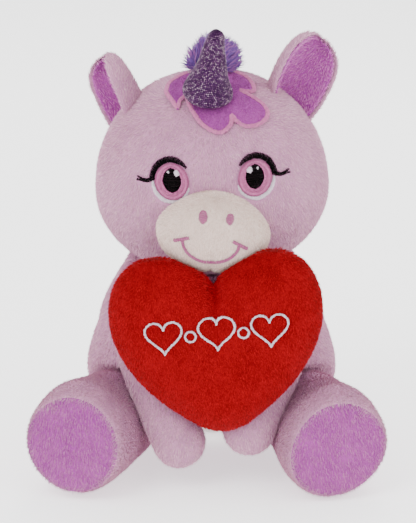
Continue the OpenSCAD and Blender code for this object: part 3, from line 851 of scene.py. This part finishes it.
def torso_point(height, turn, share=1.0):
    """Point of the torso's skin at a height in millimetres and an angle, share of the way out."""
    wide = float(np.interp(height, girth_heights, girths)) - 0.9
    deep = wide - depth_less
    side, back = math.cos(turn), math.sin(turn)
    waist_fold = 0.018 * math.exp(-(((height - 60.0) / 4.0) ** 2)) * max(0.0, side * side - 0.3)
    shoulders = 0.045 * math.exp(-(((height - 78.0) / 12.0) ** 2))
    belly = 0.05 * math.exp(-(((height - 40.0) / 12.0) ** 2)) * max(0.0, -back + 0.4)
    out = 1.0 - waist_fold + (shoulders + belly)
    p = upright @ (Vector((wide * side * out, deep * back * out, height)) * MM)
    p = Vector((p.x * share, torso_foot.y + (p.y - torso_foot.y) * share if share < 1 else p.y, p.z))
    seam = abs(p.x) if back > 0 else 1.0
    side_seam = abs(p.y - side_seam_y)
    away = Vector((side, back, 0.0))
    p -= away * (groove(seam) + groove(side_seam)) * (1.0 if share == 1.0 else 0.0)
    between = max(0.0, min(1.0, (40.0 * MM - abs(p.x)) / (12.0 * MM)))
    arch = 0.37 * max(0.0, 37.0 * MM - p.y) * between * between * (3 - 2 * between)
    p.z = max(p.z, 0.2 * MM, arch)
    return p


def carved(p):
    """Draws a point in toward the torso's core until it is clear of the hollows."""
    steps = 60
    for k in range(18, steps + 1):
        q = torso_core.lerp(p, k / steps)
        if in_hollow(q):
            return torso_core.lerp(p, (k - 1) / steps)
    return p


torso_heights = [0.2, 1.0, 2.2] + [4.0 + 2.0 * i for i in range(48)]
torso_rows = [[torso_foot + Vector((0, 0, 0.2 * MM))]]
torso_rows += [[torso_point(0.2, math.tau * i / torso_around, k / 7) for i in range(torso_around)]
               for k in range(1, 7)]
torso_rows += [[carved(torso_point(h, math.tau * i / torso_around)) for i in range(torso_around)]
               for h in torso_heights]
torso_rows += [[carved(torso_point(torso_top, math.tau * i / torso_around, k / 7))
                for i in range(torso_around)] for k in range(6, 0, -1)]
torso_rows += [[carved(upright @ Vector((0, 0, torso_top * MM)))]]
torso = finish_mesh(link("torso_cover", grid_skin(torso_rows)), lilac_backing)
settle = torso.modifiers.new("settle", "SMOOTH")
settle.factor = 0.5
settle.iterations = 3
torso.data = baked(torso)
torso.modifiers.clear()


def plush(obj, name, body, blade, fibres, nap, seed, density=2.2, lean=1.5, swirl=1.5, keeps=None,
          clear_of=None, clear=0.0):
    """Grows the pile of a stuffed piece and lets it ride along."""
    backing = part_of(obj.data, keeps) if keeps else obj.data
    pile = grow_pile(name, backing, blade, fibres, density, nap, lean, swirl, seed, clear_of, clear)
    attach(pile, body)
    return pile


plush(torso, "torso_front_pile", "torso", short_blade, lilac_pile, (0.0, 0.0, -1.0), 11,
      keeps=lambda c: c.y < side_seam_y and c.z > 1 * MM and (c - head_at).length > neck_room + 1.2 * MM)
plush(torso, "torso_back_pile", "torso", short_blade, lilac_pile, (0.0, 0.0, -1.0), 12,
      keeps=lambda c: c.y >= side_seam_y and c.z > 1 * MM and (c - head_at).length > neck_room + 1.2 * MM)
keep(torso, "torso", "lilac_plush", "torso_front_panel", "torso_back_left_panel", "torso_back_right_panel",
     "torso_stuffing")

# ---- Pellet bag and sewn rings ----
# A cotton bag of plastic pellets lies low in the stuffing, seen only when the toy is opened. Rings of
# lilac thread join the head and the legs to the torso.
pellet_cloth, tree, shader = new_material("pellet_bag_cotton")
place = add(tree, "ShaderNodeTexCoord").outputs["Object"]
beads = add(tree, "ShaderNodeTexVoronoi", Vector=place, Scale=420.0)
lumps = add(tree, "ShaderNodeBump", Height=beads.outputs["Distance"], Strength=0.6, Distance=0.0008)
# The cotton is painted darker where its bump sinks: painted shade in the dips.
tint = add(tree, "ShaderNodeMix", {"data_type": "RGBA"}, i0=beads.outputs["Distance"], i6=linear("#dcd8d2"),
           i7=linear("#f1efeb"))
tree.links.new(tint.outputs[2], shader.inputs["Base Color"])
tree.links.new(lumps.outputs["Normal"], shader.inputs["Normal"])
shader.inputs["Roughness"].default_value = 0.85
for held in bpy.data.objects["pellet_bag"].material_slots:
    held.material = pellet_cloth
lilac_thread = thread_material("lilac_sewing_thread", "#bb83a5", "#9d698c")


def ring_stitches(centre, axis, radius, thick, count):
    """Slanted stitches wound round a ring."""
    turn = axis.to_track_quat("Z", "Y").to_matrix()
    stitches = []
    for k in range(count):
        line = []
        for j in range(7):
            a = math.tau * (k + 0.8 * j / 6) / count
            b = math.tau * j / 7
            r = radius + thick * math.cos(b)
            line.append(centre + turn @ Vector((r * math.cos(a), r * math.sin(a), thick * math.sin(b))))
        stitches.append(line)
    return stitches


neck_ring = ring_stitches(head_at - Vector((0, 0, 45.8 * MM)), Vector((0, 0, 1)), 18 * MM, 1.2 * MM, 84)
keep(sew("neck_seam_stitches", neck_ring, lilac_thread, 0.3 * MM), "neck", "lilac_plush", "neck_seam")
for side, name in ((-1, "left"), (1, "right")):
    hip_ring = ring_stitches(hip_at[side] - leg_way[side] * 17.6 * MM, leg_way[side], 9 * MM, 0.6 * MM, 48)
    keep(sew(f"{name}_hip_stitches", hip_ring, lilac_thread, 0.25 * MM), f"{name}_hip", "lilac_plush",
         f"{name}_hip_seam")

# ---- Arms ----
# Each arm is one folded panel of lilac plush, stuffed, bent at the elbow and closed by a soft seam that
# runs down its front to the paw. The paws press the heart against the chest.


def limb_rows(path, radii, around, shape=None):
    """Rings along a path, rounded at both ends, held in a frame that doesn't twist."""
    rows = []
    up = Vector((0.0, 0.0, 1.0))
    for k, centre in enumerate(path):
        ahead = (path[min(k + 1, len(path) - 1)] - path[max(k - 1, 0)]).normalized()
        across = ahead.cross(up).normalized()
        front = across.cross(ahead).normalized()
        ring = []
        for i in range(around):
            a = math.tau * i / around
            r = radii[k] - (shape(k / (len(path) - 1), a) if shape else 0.0)
            ring.append(centre + (across * math.cos(a) + front * math.sin(a)) * r)
        rows.append(ring)
    return rows


def capped(rows):
    """Rings whose first and last are drawn to a point."""
    return [rows[0][:1]] + rows[1:-1] + [rows[-1][:1]]


def round_ends(path, radii, steps=7):
    """Adds a dome to each end of a limb."""
    first, last = (path[0] - path[1]).normalized(), (path[-1] - path[-2]).normalized()
    front = [(path[0] + first * radii[0] * math.cos(math.pi / 2 * i / steps),
              radii[0] * math.sin(math.pi / 2 * i / steps)) for i in range(steps)]
    back = [(path[-1] + last * radii[-1] * math.sin(math.pi / 2 * i / steps),
             radii[-1] * math.cos(math.pi / 2 * i / steps)) for i in range(1, steps + 1)]
    points = [p for p, _ in front] + list(path) + [p for p, _ in back]
    sizes = [r for _, r in front] + list(radii) + [r for _, r in back]
    return points, [max(r, 0.02 * MM) for r in sizes]


for side, name in ((-1, "left"), (1, "right")):
    paw_tip = paw_at[side] + Vector((1.8 if side > 0 else 0.5, 0.0, -0.4 if side > 0 else -1.6)) * MM
    corner_path = [shoulder_at[side].lerp(elbow_at[side], i / 16) for i in range(16)]
    corner_path += [elbow_at[side].lerp(paw_tip, i / 20) for i in range(21)]
    sizes = [(9.6 + 1.0 * i / 16) * MM for i in range(16)]
    sizes += [(10.6 + 0.7 * min(1.0, i / 14)) * MM for i in range(21)]
    for _ in range(12):
        eased = [(a + b * 2 + c) / 4 for a, b, c in zip(corner_path, corner_path[1:], corner_path[2:])]
        corner_path = [corner_path[0]] + eased + [corner_path[-1]]
    points, sizes = round_ends(corner_path, sizes)

    def arm_seam(s, a, side=side):
        """Soft seam down the front, stopping short of the shoulder and of the paw's tip."""
        middle = math.radians(90.0 - side * 28.0)
        off = (a - middle + math.pi) % math.tau - math.pi
        return groove(abs(off) * 11 * MM, 1.4 * MM, 0.9 * MM) * (1.0 if 0.2 < s < 0.97 else 0.0)

    rows = limb_rows(points, sizes, 56, arm_seam)
    arm = finish_mesh(link(f"{name}_arm_cover_plush", grid_skin(capped(rows))), lilac_backing)
    plush(arm, f"{name}_arm_pile", f"{name}_arm", short_blade, lilac_pile, (0.0, -0.3, -1.0),
          20 + side)
    keep(arm, f"{name}_arm", "lilac_plush", f"{name}_arm_cover", f"{name}_arm_stuffing")

# ---- Legs and soles ----
# Each leg is a stuffed tube of lilac plush, round at the hip and fuller at the toe, closed by a round
# sole of violet plush that is sewn in edge to edge, so that the pile hides the seam.
sole_pile = pile_fibres("sole_pile", ("#ab609b", "#9a5090", "#b873a4"))
hip_round = 19.6
clear_of_floor = 0.5 * MM
leg_around = 72
sole_front = 56.0
sole_back = 53.5
leg_stations = [0, 8, 16, 24, 32, 40, 46, 50, 53, 55, 56.2]
leg_sizes = [19.6, 20.4, 21.0, 21.5, 21.9, 22.2, 22.3, 22.3, 22.1, 21.6, 20.9]
sole_size = 21.2 * MM


def settled(p, a, s, side, share=1.0):
    """The leg as its stuffing settles: full on top, tucked in at the outer heel, full at the inner one."""
    top = max(0.0, math.sin(a)) ** 1.5 * max(0.0, min(1.0, 1.0 - 1.2 * side * math.cos(a)))
    heel = max(0.0, -0.7 * math.sin(a) - 0.7 * side * math.cos(a))
    inner = max(0.0, -0.7 * math.sin(a) + 0.7 * side * math.cos(a))
    rise = 2.6 * top * max(0.0, min(1.0, (s + 10) / 20, (56 - s) / 12))
    rise += (2.2 if side > 0 else 0.7) * heel ** 3 * share
    shift = (2.4 * inner ** 2 + 1.0 * heel ** 2) * share * max(0.0, min(1.0, (s - 15) / 25)) * max(0, side)
    return p + Vector((-shift, 0.0, rise)) * MM


for side, name in ((-1, "left"), (1, "right")):
    way, hip = leg_way[side], hip_at[side]
    across = way.cross(Vector((0, 0, 1))).normalized()
    lift = across.cross(way).normalized()
    stations = [hip_round * -math.cos(math.pi / 2 * i / 9) for i in range(9)] + [1.6 * i for i in range(36)]
    rows = []
    for s in stations:
        domed = hip_round * math.sqrt(max(0.0, 1 - (s / hip_round) ** 2))
        r = (domed if s < 0 else float(np.interp(s, leg_stations, leg_sizes))) * MM
        ring = []
        for i in range(leg_around):
            a = math.tau * i / leg_around
            toe = 1.3 * MM * math.exp(-(((s - 44.0) / 9.0) ** 2)) * max(0.0, math.sin(a))
            ankle = 0.9 * MM * math.exp(-(((s - 18.0) / 7.0) ** 2)) * (0.4 + 0.6 * max(0.0, math.sin(a)))
            under = groove(abs(a - 1.5 * math.pi) * 20 * MM)
            thick = max(0.02 * MM, r + toe - ankle - under)
            p = hip + way * s * MM + (across * math.cos(a) + lift * math.sin(a)) * thick
            p = settled(p, a, s, side)
            p.z = max(p.z, clear_of_floor)
            ring.append(p)
        rows.append(ring)
    front = rows[-1]
    centre = hip + way * 55.0 * MM
    rows += [[centre.lerp(p, f) + way * 0.6 * MM * (1 - f) for p in front] for f in (0.93, 0.7, 0.45, 0.2)]
    rows.append([centre])
    rows[0] = [rows[0][0]]
    leg = finish_mesh(link(f"{name}_leg_cover_plush", grid_skin(rows)), lilac_backing)
    pad_rows = []
    for k in range(15):
        f = k / 14
        dome = 1.9 * MM * (1 - f ** 3.2)
        ring = []
        for i in range(leg_around):
            a = math.tau * i / leg_around
            off = math.remainder(a - math.radians(90 + side * 32), math.tau)
            pinch = 0.9 * MM * math.exp(-(((f - 0.8) / 0.12) ** 2) - ((off / 0.22) ** 2))
            rim = across * math.cos(a) + lift * math.sin(a)
            p = hip + way * (sole_front * MM + dome - pinch) + rim * sole_size * f
            ring.append(settled(p, a, 56.0, side, f * f))
        pad_rows.append(ring)
    tucked = sole_size - 1.8 * MM
    leg_turns = [math.tau * i / leg_around for i in range(leg_around)]
    pad_under = [[hip + way * sole_back * MM + (across * math.cos(a) + lift * math.sin(a)) * tucked * f
                  for a in leg_turns] for f in (1.0, 0.6, 0.3)]
    pad_rows = [[pad_rows[0][0]]] + pad_rows[1:] + pad_under + [[hip + way * sole_back * MM]]
    sole = finish_mesh(link(f"{name}_sole_plush", grid_skin(pad_rows)), violet_backing)
    plush(leg, f"{name}_leg_pile", f"{name}_leg", short_blade, lilac_pile,
          tuple(way * 1.2 + Vector((0, 0, -0.25))), 30 + side,
          keeps=lambda c: (c - hip).dot(way) < 56.1 * MM)
    plush(sole, f"{name}_sole_pile", f"{name}_leg", short_blade, sole_pile, (0.15, 0.0, -1.0),
          33 + side, swirl=1.2,
          keeps=lambda c: (c - hip).dot(way) > 55.5 * MM)
    keep(leg, f"{name}_leg", "lilac_plush", f"{name}_leg_cover", f"{name}_leg_stuffing")
    keep(sole, f"{name}_leg", "violet_plush", f"{name}_sole")

# ---- Heart ----
# A stuffed cushion of bright red velour, front and back panels sewn right round, drawn in at the notch.
# The chin rests in the notch and the paws hold it from behind.
heart_at = Vector((1.6, -58.5, 85.5)) * MM
heart_roll = math.radians(4.5)
to_heart = Matrix.Translation(heart_at) @ Matrix.Rotation(-heart_roll, 4, "Y")
heart_edge = [(0, 11.5), (5, 16.8), (12, 21.3), (22, 24.6), (32.5, 23.6), (41.5, 17.0), (46.4, 6), (47.0, -6),
              (44.6, -16), (40, -25.5),
              (33, -35), (25, -43), (16, -50), (8, -55), (0, -56.8)]
half_edge = rounded([Vector(p) for p in heart_edge], 10)
whole_edge = half_edge + [Vector((-p.x, p.y)) for p in half_edge[-2:0:-1]]
heart_middle = Vector((0.0, -12.0))
bearing = [math.atan2(p.y - heart_middle.y, p.x - heart_middle.x) for p in whole_edge]
reach = [(p - heart_middle).length for p in whole_edge]
order = np.argsort(bearing)
bearing = np.array(bearing)[order]
reach = np.array(reach)[order]
heart_swell = 13.2
heart_seam_y = -58.5 * MM
muzzle_room = 2.2 * MM
motif_line = 0.62 * MM
motif_pitch = 23.0
motif_z = -8.5


def heart_height(x, z):
    """How far the cushion swells at a point of its panel, in millimetres."""
    off = min((Vector((x, z)) - p).length for p in whole_edge)
    t = min(1.0, off / 21.0)
    crease = 3.4 * math.exp(-((x / 3.2) ** 2)) * max(0.0, min(1.0, (z + 26.0) / 34.0)) ** 1.2
    return heart_swell * (1 - (1 - t) ** 2.1) ** 0.62 - crease


red_backing = short_pile("red_velour_backing", "#86000b", "#680003")
red_pile = pile_fibres("red_pile", ("#93000d", "#7e000a", "#a00010"), 0.0)
around, rings = 180, 34
front_rows, back_rows = [], []
for k in range(1, rings + 1):
    f = math.sin(math.pi / 2 * k / rings)
    front_ring, back_ring = [], []
    for i in range(around):
        a = -math.pi + math.tau * i / around
        r = float(np.interp(a, bearing, reach, period=math.tau)) - 1.0
        x, z = heart_middle.x + r * f * math.cos(a), heart_middle.y + r * f * math.sin(a)
        swell = heart_height(x, z) if k < rings else 0.0
        pucker = 0.35 * math.sin(37 * a) * math.exp(-(((1 - f) / 0.05) ** 2)) if k < rings else 0.0
        front_ring.append(to_heart @ (Vector((x, -max(0.0, swell + pucker), z)) * MM))
        back_ring.append(to_heart @ (Vector((x, max(0.0, 0.82 * swell - pucker), z)) * MM))
    front_rows.append(front_ring)
    back_rows.append(back_ring)
middle_swell = heart_height(heart_middle.x, heart_middle.y)
front_pole = to_heart @ (Vector((heart_middle.x, -middle_swell, heart_middle.y)) * MM)
back_pole = to_heart @ (Vector((heart_middle.x, 0.82 * middle_swell, heart_middle.y)) * MM)
heart_mesh = grid_skin([[front_pole]] + front_rows + back_rows[-2::-1] + [[back_pole]])
from_muzzle = to_muzzle.inverted()
for v in heart_mesh.vertices:
    q = from_muzzle @ v.co
    room = Vector((q.x / (muzzle_half.x + muzzle_room), q.y / (muzzle_half.y + muzzle_room),
                   q.z / (muzzle_half.z + muzzle_room)))
    if room.length < 1.0:
        v.co = to_muzzle @ (q / max(room.length, 0.05))
heart = finish_mesh(link("heart_cushion", heart_mesh), red_backing)
heart_skin = surface_of(heart)
on_heart = seen_from_front(heart_skin, to_heart)
motif = []
for k in (-1, 0, 1):
    outline_points = []
    for i in range(61):
        t = math.tau * i / 60
        hx = 16 * math.sin(t) ** 3
        hz = 13 * math.cos(t) - 5 * math.cos(2 * t) - 2 * math.cos(3 * t) - math.cos(4 * t)
        outline_points.append(((k * motif_pitch + hx * 0.5) * MM, (motif_z + hz * 0.5 + 1.2) * MM))
    motif += satin(on_heart, outline_points, [motif_line] * 61, pitch=0.4 * MM, height=0.9 * MM)
for k in (-1, 1):
    motif += satin(on_heart, oval(k * 0.5 * motif_pitch * MM, motif_z * MM, 4.6 * MM, 4.6 * MM, steps=24),
                   [motif_line] * 25, height=0.9 * MM)
heart_motif = keep(sew("heart_motif_stitches", motif, white_thread), "heart", "white_thread", "heart_motif")
motif_clear = joined("motif_clear", [heart_motif])
plush(heart, "heart_front_pile", "heart", velour_blade, red_pile, (0.2, 0.0, -1.0), 41,
      density=3.4, lean=1.4,
      keeps=lambda c: c.y < heart_seam_y, clear_of=motif_clear, clear=0.55 * MM)
plush(heart, "heart_back_pile", "heart", short_blade, red_pile, (0.2, 0.0, -1.0), 42,
      keeps=lambda c: c.y >= heart_seam_y)
keep(heart, "heart", "red_plush", "heart_front_panel", "heart_back_panel", "heart_stuffing")

# ---- Ears ----
# Each ear is a leaf of lilac plush lined with violet and folded lengthwise where it is sewn to the head,
# so that it cups. The left one is folded nearly shut, and the right one stands open.
ears = {
    -1: dict(at=(-30.4, 4.0, 24.8), turn=-63.0, lean=26.0, length=33.0, width=13.4, wrap=86.0, peak=0.62,
             name="left"),
    1: dict(at=(31.0, 4.0, 27.6), turn=31.0, lean=30.0, length=37.0, width=14.6, wrap=78.0, peak=0.58,
            name="right"),
}


# The lining's pile is the forelock's violet painted much lighter and pinker: painted light against the shade
# inside the cupped ear.
ear_pile_painted_light = pile_fibres("ear_pile_painted_light", ("#c973b8", "#bb65ac", "#d487c2"))


def ear_sheet(e, side, near, far, trim):
    """Closed layer of a cupped ear between two distances from its fold."""
    to_ear = (to_head @ Matrix.Translation(Vector(e["at"]) * MM)
              @ Matrix.Rotation(math.radians(side * e["lean"]), 4, "Y")
              @ Matrix.Rotation(math.radians(e["turn"]), 4, "Z"))
    across, up = 30, 34
    rings = []
    for j in range(up + 1):
        t = j / up
        along = -4.0 + (e["length"] - trim + 4.0) * t
        rest = (t - e["peak"]) / (e["peak"] if t < e["peak"] else 1.0 - e["peak"])
        swell = (1.0 - 0.42 * rest * rest) if t < e["peak"] else math.sqrt(max(0.0, 1.0 - abs(rest) ** 2.4))
        half = max(0.15, (e["width"] - trim) * swell)
        opening = math.radians(e["wrap"] + 40.0 * (1 - t) ** 3)
        ring = []
        for layer, order in ((far, 1), (near, -1)):
            for i in range(across + 1):
                u = (2.0 * i / across - 1.0) * order
                a = u * opening
                bend = half / math.sin(min(opening, math.radians(88)))
                r = bend + layer * (1 - abs(u) ** 6 * 0.4)
                ring.append(to_ear @ (Vector((r * math.sin(a), r * math.cos(a) - bend * 0.75, along)) * MM))
        rings.append(ring)
    bottom = sum(rings[0], Vector()) / len(rings[0])
    top = sum(rings[-1], Vector()) / len(rings[-1])
    return grid_skin([[bottom]] + rings + [[top]])


for side, e in ears.items():
    back = finish_mesh(link(f"{e['name']}_ear_back_plush", ear_sheet(e, side, 0.1, 1.3, 0.0)), lilac_backing)
    lining = finish_mesh(link(f"{e['name']}_ear_lining_plush", ear_sheet(e, side, -1.2, 0.0, 1.2)),
                         violet_backing)
    body = f"{e['name']}_ear"
    leaning = math.radians(e["lean"])
    outward = tuple(to_head.to_3x3() @ Vector((side * math.sin(leaning), 0.0, math.cos(leaning))))
    plush(back, f"{body}_back_pile", body, short_blade, lilac_pile, outward, 50 + side)
    plush(lining, f"{body}_lining_pile", body, short_blade, ear_pile_painted_light, outward, 53 + side)
    keep(back, body, "lilac_plush", f"{body}_back")
    keep(lining, body, "violet_plush", f"{body}_lining")

# ---- Horn ----
# A stuffed cone of dark purple knit printed with fine foil dots in slanting rows. It is bulbous at its
# root, where it is sewn over the forelock, and leans toward the toy's left ear.
horn_seat = math.radians(34.0)
horn_reach = 46.5
horn_foot = Vector((-0.9, -horn_reach * math.sin(horn_seat) - 0.6, horn_reach * math.cos(horn_seat) - 1.0))
to_horn = (to_head @ Matrix.Translation(horn_foot * MM)
           @ Matrix.Rotation(math.radians(10.8), 4, "Y") @ Matrix.Rotation(math.radians(20.0), 4, "X"))
horn_heights = [1.5, 2.0, 3.0, 4.5, 7, 10, 14, 19, 25, 30, 33.5, 35.3, 36.2]
horn_sizes = [5.0, 9.0, 10.6, 11.2, 10.9, 9.5, 7.8, 6.4, 5.2, 4.2, 3.5, 2.4, 0.9]
horn_cloth, tree, shader = new_material("dark_purple_horn_knit")
place = add(tree, "ShaderNodeTexCoord").outputs["Object"]
knit = add(tree, "ShaderNodeTexWave", {"bands_direction": "DIAGONAL"}, Vector=place, Scale=420.0,
           Distortion=1.5, Detail=1.0)
fleck = add(tree, "ShaderNodeTexNoise", Vector=place, Scale=700.0, Detail=2.0)
cloth_tone = add(tree, "ShaderNodeMix", {"data_type": "RGBA"}, i0=fleck.outputs["Fac"], i6=linear("#16041a"),
                 i7=linear("#321038"))
weave = add(tree, "ShaderNodeBump", Height=knit.outputs["Fac"], Strength=0.5, Distance=0.0003)
tree.links.new(cloth_tone.outputs[2], shader.inputs["Base Color"])
tree.links.new(weave.outputs["Normal"], shader.inputs["Normal"])
shader.inputs["Roughness"].default_value = 0.55
shader.inputs["Specular IOR Level"].default_value = 0.05
shader.inputs["Sheen Weight"].default_value = 0.0
foil = []
for k, (colour, rough) in enumerate((("#e6c4da", 0.3), ("#a06c9c", 0.35), ("#5a2f62", 0.4))):
    foil_made, tree, shader = new_material(f"printed_foil_{k}")
    shader.inputs["Base Color"].default_value = linear(colour)
    shader.inputs["Metallic"].default_value = 0.35
    shader.inputs["Roughness"].default_value = rough
    foil.append(foil_made)


def horn_point(height, turn):
    """Point of the horn's cloth, slightly twisted."""
    r = float(np.interp(height, horn_heights, horn_sizes))
    r += 0.18 * math.sin(3 * turn + height * 0.4)
    return to_horn @ (Vector((r * math.cos(turn), r * math.sin(turn), height)) * MM)


horn_rows = [[to_horn @ Vector((0, 0, 1.6 * MM))]]
horn_rows += [[horn_point(h, math.tau * i / 56) for i in range(56)] for h in np.linspace(1.5, 36.2, 52)]
horn_rows += [[to_horn @ Vector((0, 0, 36.6 * MM))]]
horn = finish_mesh(link("horn_cloth_cover", grid_skin(horn_rows)), horn_cloth)
bm = bmesh.new()
bmesh.ops.create_icosphere(bm, subdivisions=1, radius=0.2 * MM)
bmesh.ops.scale(bm, vec=(1.0, 1.0, 0.4), verts=bm.verts)
dot_mesh = bpy.data.meshes.new("foil_dot")
bm.to_mesh(dot_mesh)
bm.free()
foil_dot = hidden_tool("foil_dot", dot_mesh)


def dots_tree():
    """Node tree that sets a dot on each point, flat against the surface under it, in three foils."""
    tree = bpy.data.node_groups.new("printed_dots", "GeometryNodeTree")
    face = tree.interface
    face.new_socket("Points", in_out="INPUT", socket_type="NodeSocketGeometry")
    for name, kind in (("Dot", "NodeSocketObject"), ("Seed", "NodeSocketInt"),
                       ("Foil 1", "NodeSocketMaterial"),
                       ("Foil 2", "NodeSocketMaterial"), ("Foil 3", "NodeSocketMaterial")):
        face.new_socket(name, in_out="INPUT", socket_type=kind)
    face.new_socket("Dots", in_out="OUTPUT", socket_type="NodeSocketGeometry")
    given = add(tree, "NodeGroupInput").outputs
    outward = add(tree, "GeometryNodeInputNamedAttribute", {"data_type": "FLOAT_VECTOR"},
                  Name="outward").outputs[0]
    turned = add(tree, "FunctionNodeAlignRotationToVector", {"axis": "Z"}, Vector=outward)
    size = add(tree, "FunctionNodeRandomValue", {"data_type": "FLOAT"}, i2=0.45, i3=1.15)
    tree.links.new(given["Seed"], size.inputs["Seed"])
    dot = add(tree, "GeometryNodeObjectInfo", Object=given["Dot"])
    placed = add(tree, "GeometryNodeInstanceOnPoints", Points=given["Points"],
                 Instance=dot.outputs["Geometry"],
                 Rotation=turned.outputs[0], Scale=size.outputs[1])
    pick = add(tree, "FunctionNodeRandomValue", {"data_type": "INT"}, i4=0, i5=2, Seed=5)
    marked = add(tree, "GeometryNodeStoreNamedAttribute", {"data_type": "INT", "domain": "INSTANCE"},
                 Geometry=placed.outputs[0], Name="tint", Value=pick.outputs[2])
    real = add(tree, "GeometryNodeRealizeInstances", Geometry=marked.outputs[0])
    tint = add(tree, "GeometryNodeInputNamedAttribute", {"data_type": "INT"}, Name="tint").outputs[0]
    geometry = real.outputs[0]
    for k in range(3):
        chosen = add(tree, "FunctionNodeCompare", {"data_type": "INT", "operation": "EQUAL"}, i2=tint, i3=k)
        geometry = add(tree, "GeometryNodeSetMaterial", Geometry=geometry, Selection=chosen.outputs[0],
                       Material=given[f"Foil {k + 1}"]).outputs[0]
    tree.links.new(geometry, add(tree, "NodeGroupOutput").inputs[0])
    return tree


dot_points, dot_ways = [], []
height = 2.6
row = 0
while height < 36.0:
    r = float(np.interp(height, horn_heights, horn_sizes))
    count = max(6, int(math.tau * r / 0.78))
    for i in range(count):
        a = math.tau * (i + 0.5 * (row % 2)) / count + 0.05 * row
        h = height + 1.6 * math.sin(a + 0.6) * (r / 10.6)
        if h < 2.2 or h > 36.0:
            continue
        p = horn_point(h, a)
        q = horn_point(h + 0.4, a) - p
        across = horn_point(h, a + 0.05) - p
        dot_points.append(p)
        dot_ways.append(across.cross(q).normalized())
    height += 0.72
    row += 1
dot_cloud = bpy.data.meshes.new("dot_cloud")
dot_cloud.from_pydata(dot_points, [], [])
ways = dot_cloud.attributes.new("outward", "FLOAT_VECTOR", "POINT")
ways.data.foreach_set("vector", [c for w in dot_ways for c in w])
carrier = link("dot_carrier", dot_cloud)
print_on = carrier.modifiers.new("dots", "NODES")
print_on.node_group = dots_tree()
sockets = sockets_of(print_on.node_group)
for key, value in (("Dot", foil_dot), ("Seed", 9), ("Foil 1", foil[0]), ("Foil 2", foil[1]),
                   ("Foil 3", foil[2])):
    print_on[sockets[key]] = value
dots_made = baked(carrier)
bpy.data.objects.remove(carrier)
foil_dots = link("horn_foil_dots", dots_made)
keep(foil_dots, "horn", "horn_cloth")
keep(horn, "horn", "horn_cloth", "horn_cover", "horn_stuffing")

# ---- Mane tuft and tail ----
# Thick tufts of longer, bluish-violet pile that turns pink at its tips: one stands on the crown behind
# the horn, and one hangs low on the back as the tail.
mane_backing = short_pile("mane_tuft_backing", "#5c468a", "#43306e")
mane_pile = pile_fibres("mane_pile", ("#6c4a92", "#7a569e", "#a566a8"), 0.2)
long_blade = hidden_tool("long_blade", blade_mesh("long_blade", 5.6 * MM, 0.5 * MM, 3, 1.6 * MM))
tuft_at = Vector((3.3, 2.6, 49.0)) * MM


def tuft_shape(way):
    """Flattened, uneven ball."""
    uneven = math.sin(5 * way.x + 3 * way.z)
    return Vector((way.x * 9.6, way.y * 8.5, way.z * 9.5)) * MM + way * 0.5 * MM * uneven


tuft_mesh = quad_ball(14, tuft_shape)
tuft_mesh.transform(to_head @ Matrix.Translation(tuft_at))
tuft = finish_mesh(link("mane_tuft_core", tuft_mesh), mane_backing)
plush(tuft, "mane_tuft_pile", "head", long_blade, mane_pile, (0.8, 0.0, 0.7), 61, density=2.4,
      lean=1.1, swirl=1.0,
      keeps=lambda c: (c - head_at).length > 46.5 * MM)
keep(tuft, "head", "mane_pile", "mane_tuft")
tail_tip = Vector((0.0, 76.5, 17.5)) * MM
tail_line = [tail_root.lerp(tail_tip, i / 12) for i in range(13)]
points, sizes = round_ends(tail_line, [(3.6 + 1.6 * math.sin(math.pi * i / 12)) * MM for i in range(13)])
rows = limb_rows(points, sizes, 28)
tail = finish_mesh(link("tail_tuft_core", grid_skin(capped(rows))), mane_backing)
plush(tail, "tail_tuft_pile", "tail", long_blade, mane_pile, (0.0, 0.7, -1.0), 62, density=2.4,
      lean=1.6, swirl=0.8,
      keeps=lambda c: c.y > 60 * MM)
keep(tail, "tail", "mane_pile", "tail_tuft")

# ---- Closing ----
for tool in tools:
    bpy.data.objects.remove(tool)
